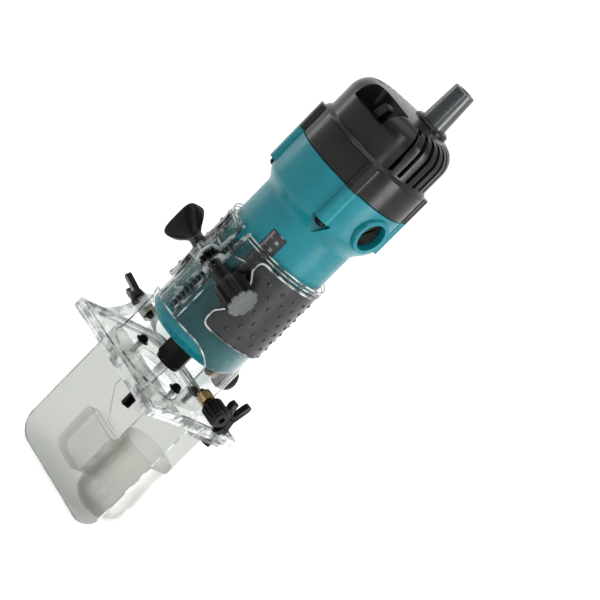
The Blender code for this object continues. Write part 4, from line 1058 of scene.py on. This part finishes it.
def wing_outline(reach, height):
    lobe = 0.0028
    right = [(0.0, 0.0005), (0.0050, 0.0005)]
    right += arc(reach - lobe, height - lobe, lobe, -30, 150, 18)
    right += [(0.0022, 0.0080)]
    left = [(-x, y) for x, y in reversed(right) if x > 0]
    return right + left


def wing_screw(name, hub_at, tip_at, reach, height, place, twist):
    hub = turned("hub", filleted([(0, hub_at + 0.0060), (0.0040, hub_at + 0.0060),
                                  (0.0050, hub_at), (0.00195, hub_at), (0.00195, tip_at),
                                  (0, tip_at)], 0.0005), 40)
    wings = slab(name, [wing_outline(reach, height)], 0.0034,
                 at(0, 0, hub_at) @ turn_z(radians(twist)) @ STAND_Y)
    apply_modifiers(bevel(wings, 0.0009, 3))
    return move(join(name, [wings, hub]), place)


def left_wing_screw():
    screw = wing_screw("side_wing_screw", 0.0440, 0.0302, 0.0092, 0.0160,
                       at(0, 0, BOSS_Z) @ TO_MINUS_X, -52)
    dress(screw, "left_screw", MATT_BLACK, "black_plastic", "left_wing_screw", edge=0.0003)


def guard_wing_bolt():
    screw = wing_screw("bolt_wings", 0.0090, -0.0060, 0.0106, 0.0168, BOLT_AT, 100)
    collar = filleted([(0, 0.0059), (0.0054, 0.0059), (0.0054, 0.0088), (0.0047, 0.0097),
                       (0, 0.0097)], 0.0004)
    screw = join("bolt_wings", [screw, turned("collar", collar, 48, BOLT_AT)])
    dress(screw, "guard_bolt", MATT_BLACK, "black_plastic", "guard_wing_bolt", edge=0.0003)


def right_thumb_screw():
    head = fluted_loft("fluted_screw", (0.0063, 0.0007, 14), [
        (0.93, 0.0425), (1.0, 0.0430), (1.0, 0.0522), (0.97, 0.0528), (0.92, 0.0530)])
    core = [(0, 0.0545), (0.0048, 0.0545), (0.0056, 0.0530), (0.0056, 0.0432),
            (0.0042, 0.0424), (0.0042, 0.0410), (0.00195, 0.0410), (0.00195, 0.0305),
            (0, 0.0305)]
    add(head, turned("core", filleted(core, 0.0005), 48))
    cut(head, rod("socket", 0.0022, 0.0520, 0.06, 6))
    move(head, at(0, 0, BOSS_Z) @ TO_X)
    dress(head, "right_screw", MATT_BLACK, "black_plastic", "right_thumb_screw", smooth=40)


def rear_thumb_knob():
    profile = [(0, 0.0530), (0.0066, 0.0530), (0.0080, 0.0515), (0.0083, 0.0490),
               (0.0080, 0.0462), (0.0050, 0.0446), (0.0042, 0.0398), (0.00195, 0.0398),
               (0.00195, 0.0305), (0, 0.0305)]
    knob = turned("round_knob", filleted(profile, 0.0008), 96)
    cut(knob, *[move(rod("notch", 0.00055, 0.0440, 0.0560, 12, at(0.00855, 0, 0)),
                     turn_z(tau * k / 24)) for k in range(24)])
    move(knob, at(0, 0, BOSS_Z) @ TO_Y)
    dress(knob, "rear_screw", MATT_BLACK, "black_plastic", "rear_thumb_knob", smooth=40)


# ---- chip guard ----
def chip_guard():
    outline = rounded_box(-0.048, GUARD_LOW, 0.0392, -GAP, (0.013, 0.013, 0.0004, 0.0004), 16)
    window = [(-0.0185, 0.0050), (-0.0185, -0.0230), (-0.0040, -0.0385), (0.0100, -0.0385),
              (0.0100, 0.0050)]
    plate = upright("guard_sheet", outline, GUARD_FRONT, GUARD_BACK)
    thinned = slab("thinned", [filleted(window, 0.0015, True)], 0.0016,
                   at(0, GUARD_FRONT, 0) @ STAND_Y)
    foot = slab("foot", [rounded_box(0.0290, 0.0050, 0.0438, 0.0340,
                                     (0.0004, 0.002, 0.004, 0.004))], 0.0020,
                at(0, 0, -GAP - 0.0010))
    tab = slab("tab", [rounded_box(0.0050, -0.0330, 0.0210, -0.0010,
                                   (0.0004, 0.002, 0.0004, 0.0004))], 0.0015,
               at(0.0384, 0, 0) @ STAND_X)
    add(plate, foot, tab)
    cut(plate, thinned, rod("hole", BOLT_HOLE_R, -0.01, 0.01, 24, BOLT_AT))
    dress(plate, "base", SHEET, "clear_plastic", "chip_guard_plate", edge=0.0003)
    # The sheet's lower edge faces take the milky edge finish: a painted edge highlight
    second_finish(plate, CLEAR_EDGE_HIGHLIGHT, lambda centre, normal: (
        centre.z < -0.001 and abs(normal.y) < 0.5 and centre.y < GUARD_BACK + 0.0005))


def dust_cup():
    wall, bend, base, rim = 0.0014, 0.011, -0.083, -0.034
    corner = (CUP_R - bend, base + bend)
    outer = [(CUP_R, rim)] + arc(*corner, bend, 0, -90, 14) + [(0, base)]
    inner = [(0, base + wall)] + arc(*corner, bend - wall, -90, 0, 14)
    inner += [(CUP_R - wall, rim - 0.0005), (CUP_R - wall + 0.0004, rim)]
    cup = turned("clear_cup", inner + outer, 96, at(CUP_X, CUP_Y, 0))
    dress(cup, "base", CUP, "clear_plastic", "dust_cup")


def chip_chute():
    y0, y1, wall = -0.0046, GUARD_FRONT - GAP, 0.0014
    left, right, low, top = -0.0145, 0.0130, -0.0690, -0.0395
    outer = rounded_box(left, low, right, top, (0.007, 0.007, 0.001, 0.001), 12)
    inner = rounded_box(left + wall, low + wall, right - wall, top + 0.01,
                        (0.006, 0.006, 0.001, 0.001), 12)
    chute = upright("clear_chute", outer, y0, y1)
    cut(chute, upright("hollow", inner, y0 + wall, y1 - wall))
    dress(chute, "base", CUP, "clear_plastic", "chip_chute", edge=0.0003)


def guard_nut():
    nut = turned("nut", [(0.0024, -0.0026), (0.0040, -0.0026), (0.0046, -0.0030),
                         (0.0046, -0.0052), (0.0040, -0.0056), (0.0024, -0.0056)], 48)
    hexagon = slab("hexagon", [circle(0, 0, 0.0042, 6)], 0.010, at(0, 0, -0.004))
    combine(nut, "INTERSECT", [hexagon])
    nut.name = "guard_bolt_nut"
    dress(move(nut, BOLT_AT), "base", DARK_STEEL, "dark_steel", "guard_nut", edge=0.00015)


# ---- collet and bit ----
def collet_nut():
    across, length = 0.0160, 0.0165
    nut = slab("hex_nut", [circle(0, 0, across / 2 / cos(pi / 6), 6)], length,
               at(0, 0, 0.0135 + length / 2))
    rounded = turned("rounding", filleted([(0, 0.0140), (0.0080, 0.0140), (0.00925, 0.0152),
                                           (0.00925, 0.0288), (0.0080, 0.0300), (0, 0.0300)],
                                          0.0004), 96)
    combine(nut, "INTERSECT", [rounded])
    skirt = turned("skirt", filleted([(0, 0.0120), (0.0074, 0.0120), (0.0077, 0.0123),
                                      (0.0077, 0.0290), (0, 0.0290)], 0.0003), 96)
    bore = turned("bore", [(0, 0.0400), (0.0062, 0.0400), (0.0062, 0.0150), (0.0034, 0.0135),
                           (0.0034, 0.0100), (0, 0.0100)], 64)
    cut(add(nut, skirt), bore)
    dress(nut, "nut", DARK_STEEL, "dark_steel", "collet_nut", edge=0.0003)


def router_bit():
    shank = [(0, 0.0330), (0.0029, 0.0330), (0.0029, -0.0040), (0.0022, -0.0060),
             (0.0022, -0.0100), (0.0030, -0.0110), (0.0030, -0.0225), (0.0022, -0.0230),
             (0, -0.0230)]
    bit = turned("straight_bit", filleted(shank, 0.0003), 72)
    for sign in (-1, 1):
        x0, x1 = sorted((sign * 0.0008, sign * 0.0040))
        y0, y1 = sorted((0.0, sign * -0.0060))
        cut(bit, box("flute", (x0, y0, -0.0260), (x1, y1, -0.0120)))
    dress(bit, "spindle", STEEL, "steel", "router_bit", edge=0.0001)
    second_finish(bit, DARK_STEEL, lambda centre, normal: centre.z < -0.0100)


# Inner pieces shown as packed: the finish, the edge's width and the nodes
KEPT = (
    (BLUED_STEEL, 0.0001, "rack"),
    (DARK_STEEL, 0.0001, "pinion"),
    (DARK_STEEL, 0.0003, "guide_stud"),
    (STEEL, 0.0, "brush_spring_left brush_spring_right collet_cone"),
    (STEEL, 0.0001, "bearing_retainer armature_shaft"),
    (STEEL, 0.0002, "clamp_screw field_core upper_bearing lower_bearing armature_core"),
    (BRASS, 0.0002, "brass_insert_left brass_insert_right brass_insert_rear"),
    (BRASS, 0.0002, "brush_holder_left brush_holder_right"),
    (CARBON, 0.0001, "carbon_brush_left carbon_brush_right"),
    (COPPER, 0.0002, "commutator"),
    (COPPER, 0.0003, "field_coil_front field_coil_rear armature_windings"),
    (MATT_BLACK, 0.0002, "switch_body end_bracket fan"),
    (RUBBER, 0.0001, "bearing_sleeve"),
)

motor_housing()
rear_cover()
cord_guard()
cover_screws()
switch_lever()
brush_caps()
depth_scale()
grip("right", 1)
grip("left", -1)
base_shell()
base_trim()
base_protector()
protector_screws()
clamp_knob()
adjusting_knob()
left_wing_screw()
guard_wing_bolt()
right_thumb_screw()
rear_thumb_knob()
chip_guard()
dust_cup()
chip_chute()
guard_nut()
collet_nut()
router_bit()
for finish, edge, names in KEPT:
    for node in names.split():
        keep(node, finish, edge)


# ---- floor, lights, camera ----
DIM_FROM = Vector((0.36, -0.93, 0))  # horizontal direction of the dark side of the room
SKY_DARK, SKY_BRIGHT, SKY_TOP = 0.06, 0.95, 1.10


def floor():
    n = material("floor_paper")
    paper_tint = n.tint(n.noise(3.0, 2.0), (0.86, 0.86, 0.86), (0.90, 0.90, 0.90))
    n.feed(n.shader, {"Base Color": paper_tint, "Emission Color": paper_tint,
                      "Emission Strength": 0.30, "Roughness": 0.9, "Specular IOR Level": 0.1})
    bm = bmesh.new()
    bmesh.ops.create_grid(bm, x_segments=4, y_segments=4, size=60.0)
    bmesh.ops.translate(bm, vec=(0, 0, CAD_BOX[0].z - 0.0005), verts=bm.verts)
    paper = piece("studio_floor", bm)
    paper.data.materials.append(n.owner)


def sky():
    """A bright room with one dark side, brighter again overhead."""
    world = bpy.data.worlds.new("studio_sky")
    n = Nodes(world, "Background", "Generated")
    facing = n.make("ShaderNodeVectorMath", {0: n.coords, 1: DIM_FROM}, operation="DOT_PRODUCT")
    height = n.make("ShaderNodeSeparateXYZ", {0: n.coords})
    blend = n.make("ShaderNodeMix", {
        "Factor": n.spread(height.outputs["Z"], 0.0, 1.0, 0.25, 0.95, "SMOOTHSTEP"),
        "A": n.spread(facing.outputs["Value"], SKY_BRIGHT, SKY_DARK, -0.35, 0.45, "SMOOTHSTEP"),
        "B": SKY_TOP})
    n.feed(n.shader, {"Color": (1.0, 1.0, 1.0, 1.0), "Strength": blend.outputs["Result"]})
    bpy.context.scene.world = world
    bpy.context.scene.view_settings.view_transform = "Standard"


def lamp(name, place, aim_height, size, power):
    """An area light that looks at the tool's axis."""
    light = bpy.data.lights.new(name, "AREA")
    light.shape = "RECTANGLE"
    light.size, light.size_y = size
    light.energy = power
    obj = put(name, light)
    obj.location = place
    aim = Vector((0, 0, aim_height)) - Vector(place)
    obj.rotation_mode = "QUATERNION"
    obj.rotation_quaternion = aim.to_track_quat("-Z", "Y")
    return obj


# Camera: the point it looks at, its direction, its roll and its lens
AIM = Vector((0.02285, 0.01618, 0.09096))
AZIMUTH, ELEVATION, ROLL = radians(35.294), radians(12.629), radians(45.0)
DISTANCE = 1.301
LENS = 141.9


def camera():
    back = Vector((sin(AZIMUTH) * cos(ELEVATION), -cos(AZIMUTH) * cos(ELEVATION),
                   sin(ELEVATION)))
    right = Vector((cos(AZIMUTH), sin(AZIMUTH), 0))
    up = back.cross(right)
    turned_right = right * cos(ROLL) + up * sin(ROLL)
    turned_up = up * cos(ROLL) - right * sin(ROLL)
    data = bpy.data.cameras.new("camera")
    data.lens = LENS
    data.sensor_width = 36.0
    data.clip_start, data.clip_end = 0.05, 50.0
    obj = put("camera", data)
    axes = Matrix((turned_right, turned_up, back)).transposed().to_4x4()
    obj.matrix_world = Matrix.Translation(AIM + back * DISTANCE) @ axes
    bpy.context.scene.camera = obj


floor()
sky()
lamp("left", (-1.15, -0.30, 0.40), 0.10, (0.22, 1.1), 4.0)
lamp("right", (1.25, 0.25, 0.35), 0.10, (0.40, 1.1), 19.0)
lamp("strip", (0.86, -0.62, 0.45), 0.15, (0.07, 0.8), 3.0)
lamp("top", (0.25, -0.25, 1.3), 0.15, (0.8, 0.8), 4.0)
lamp("above", (-0.10, -0.80, 1.15), 0.18, (0.36, 0.16), 3.0)
camera()
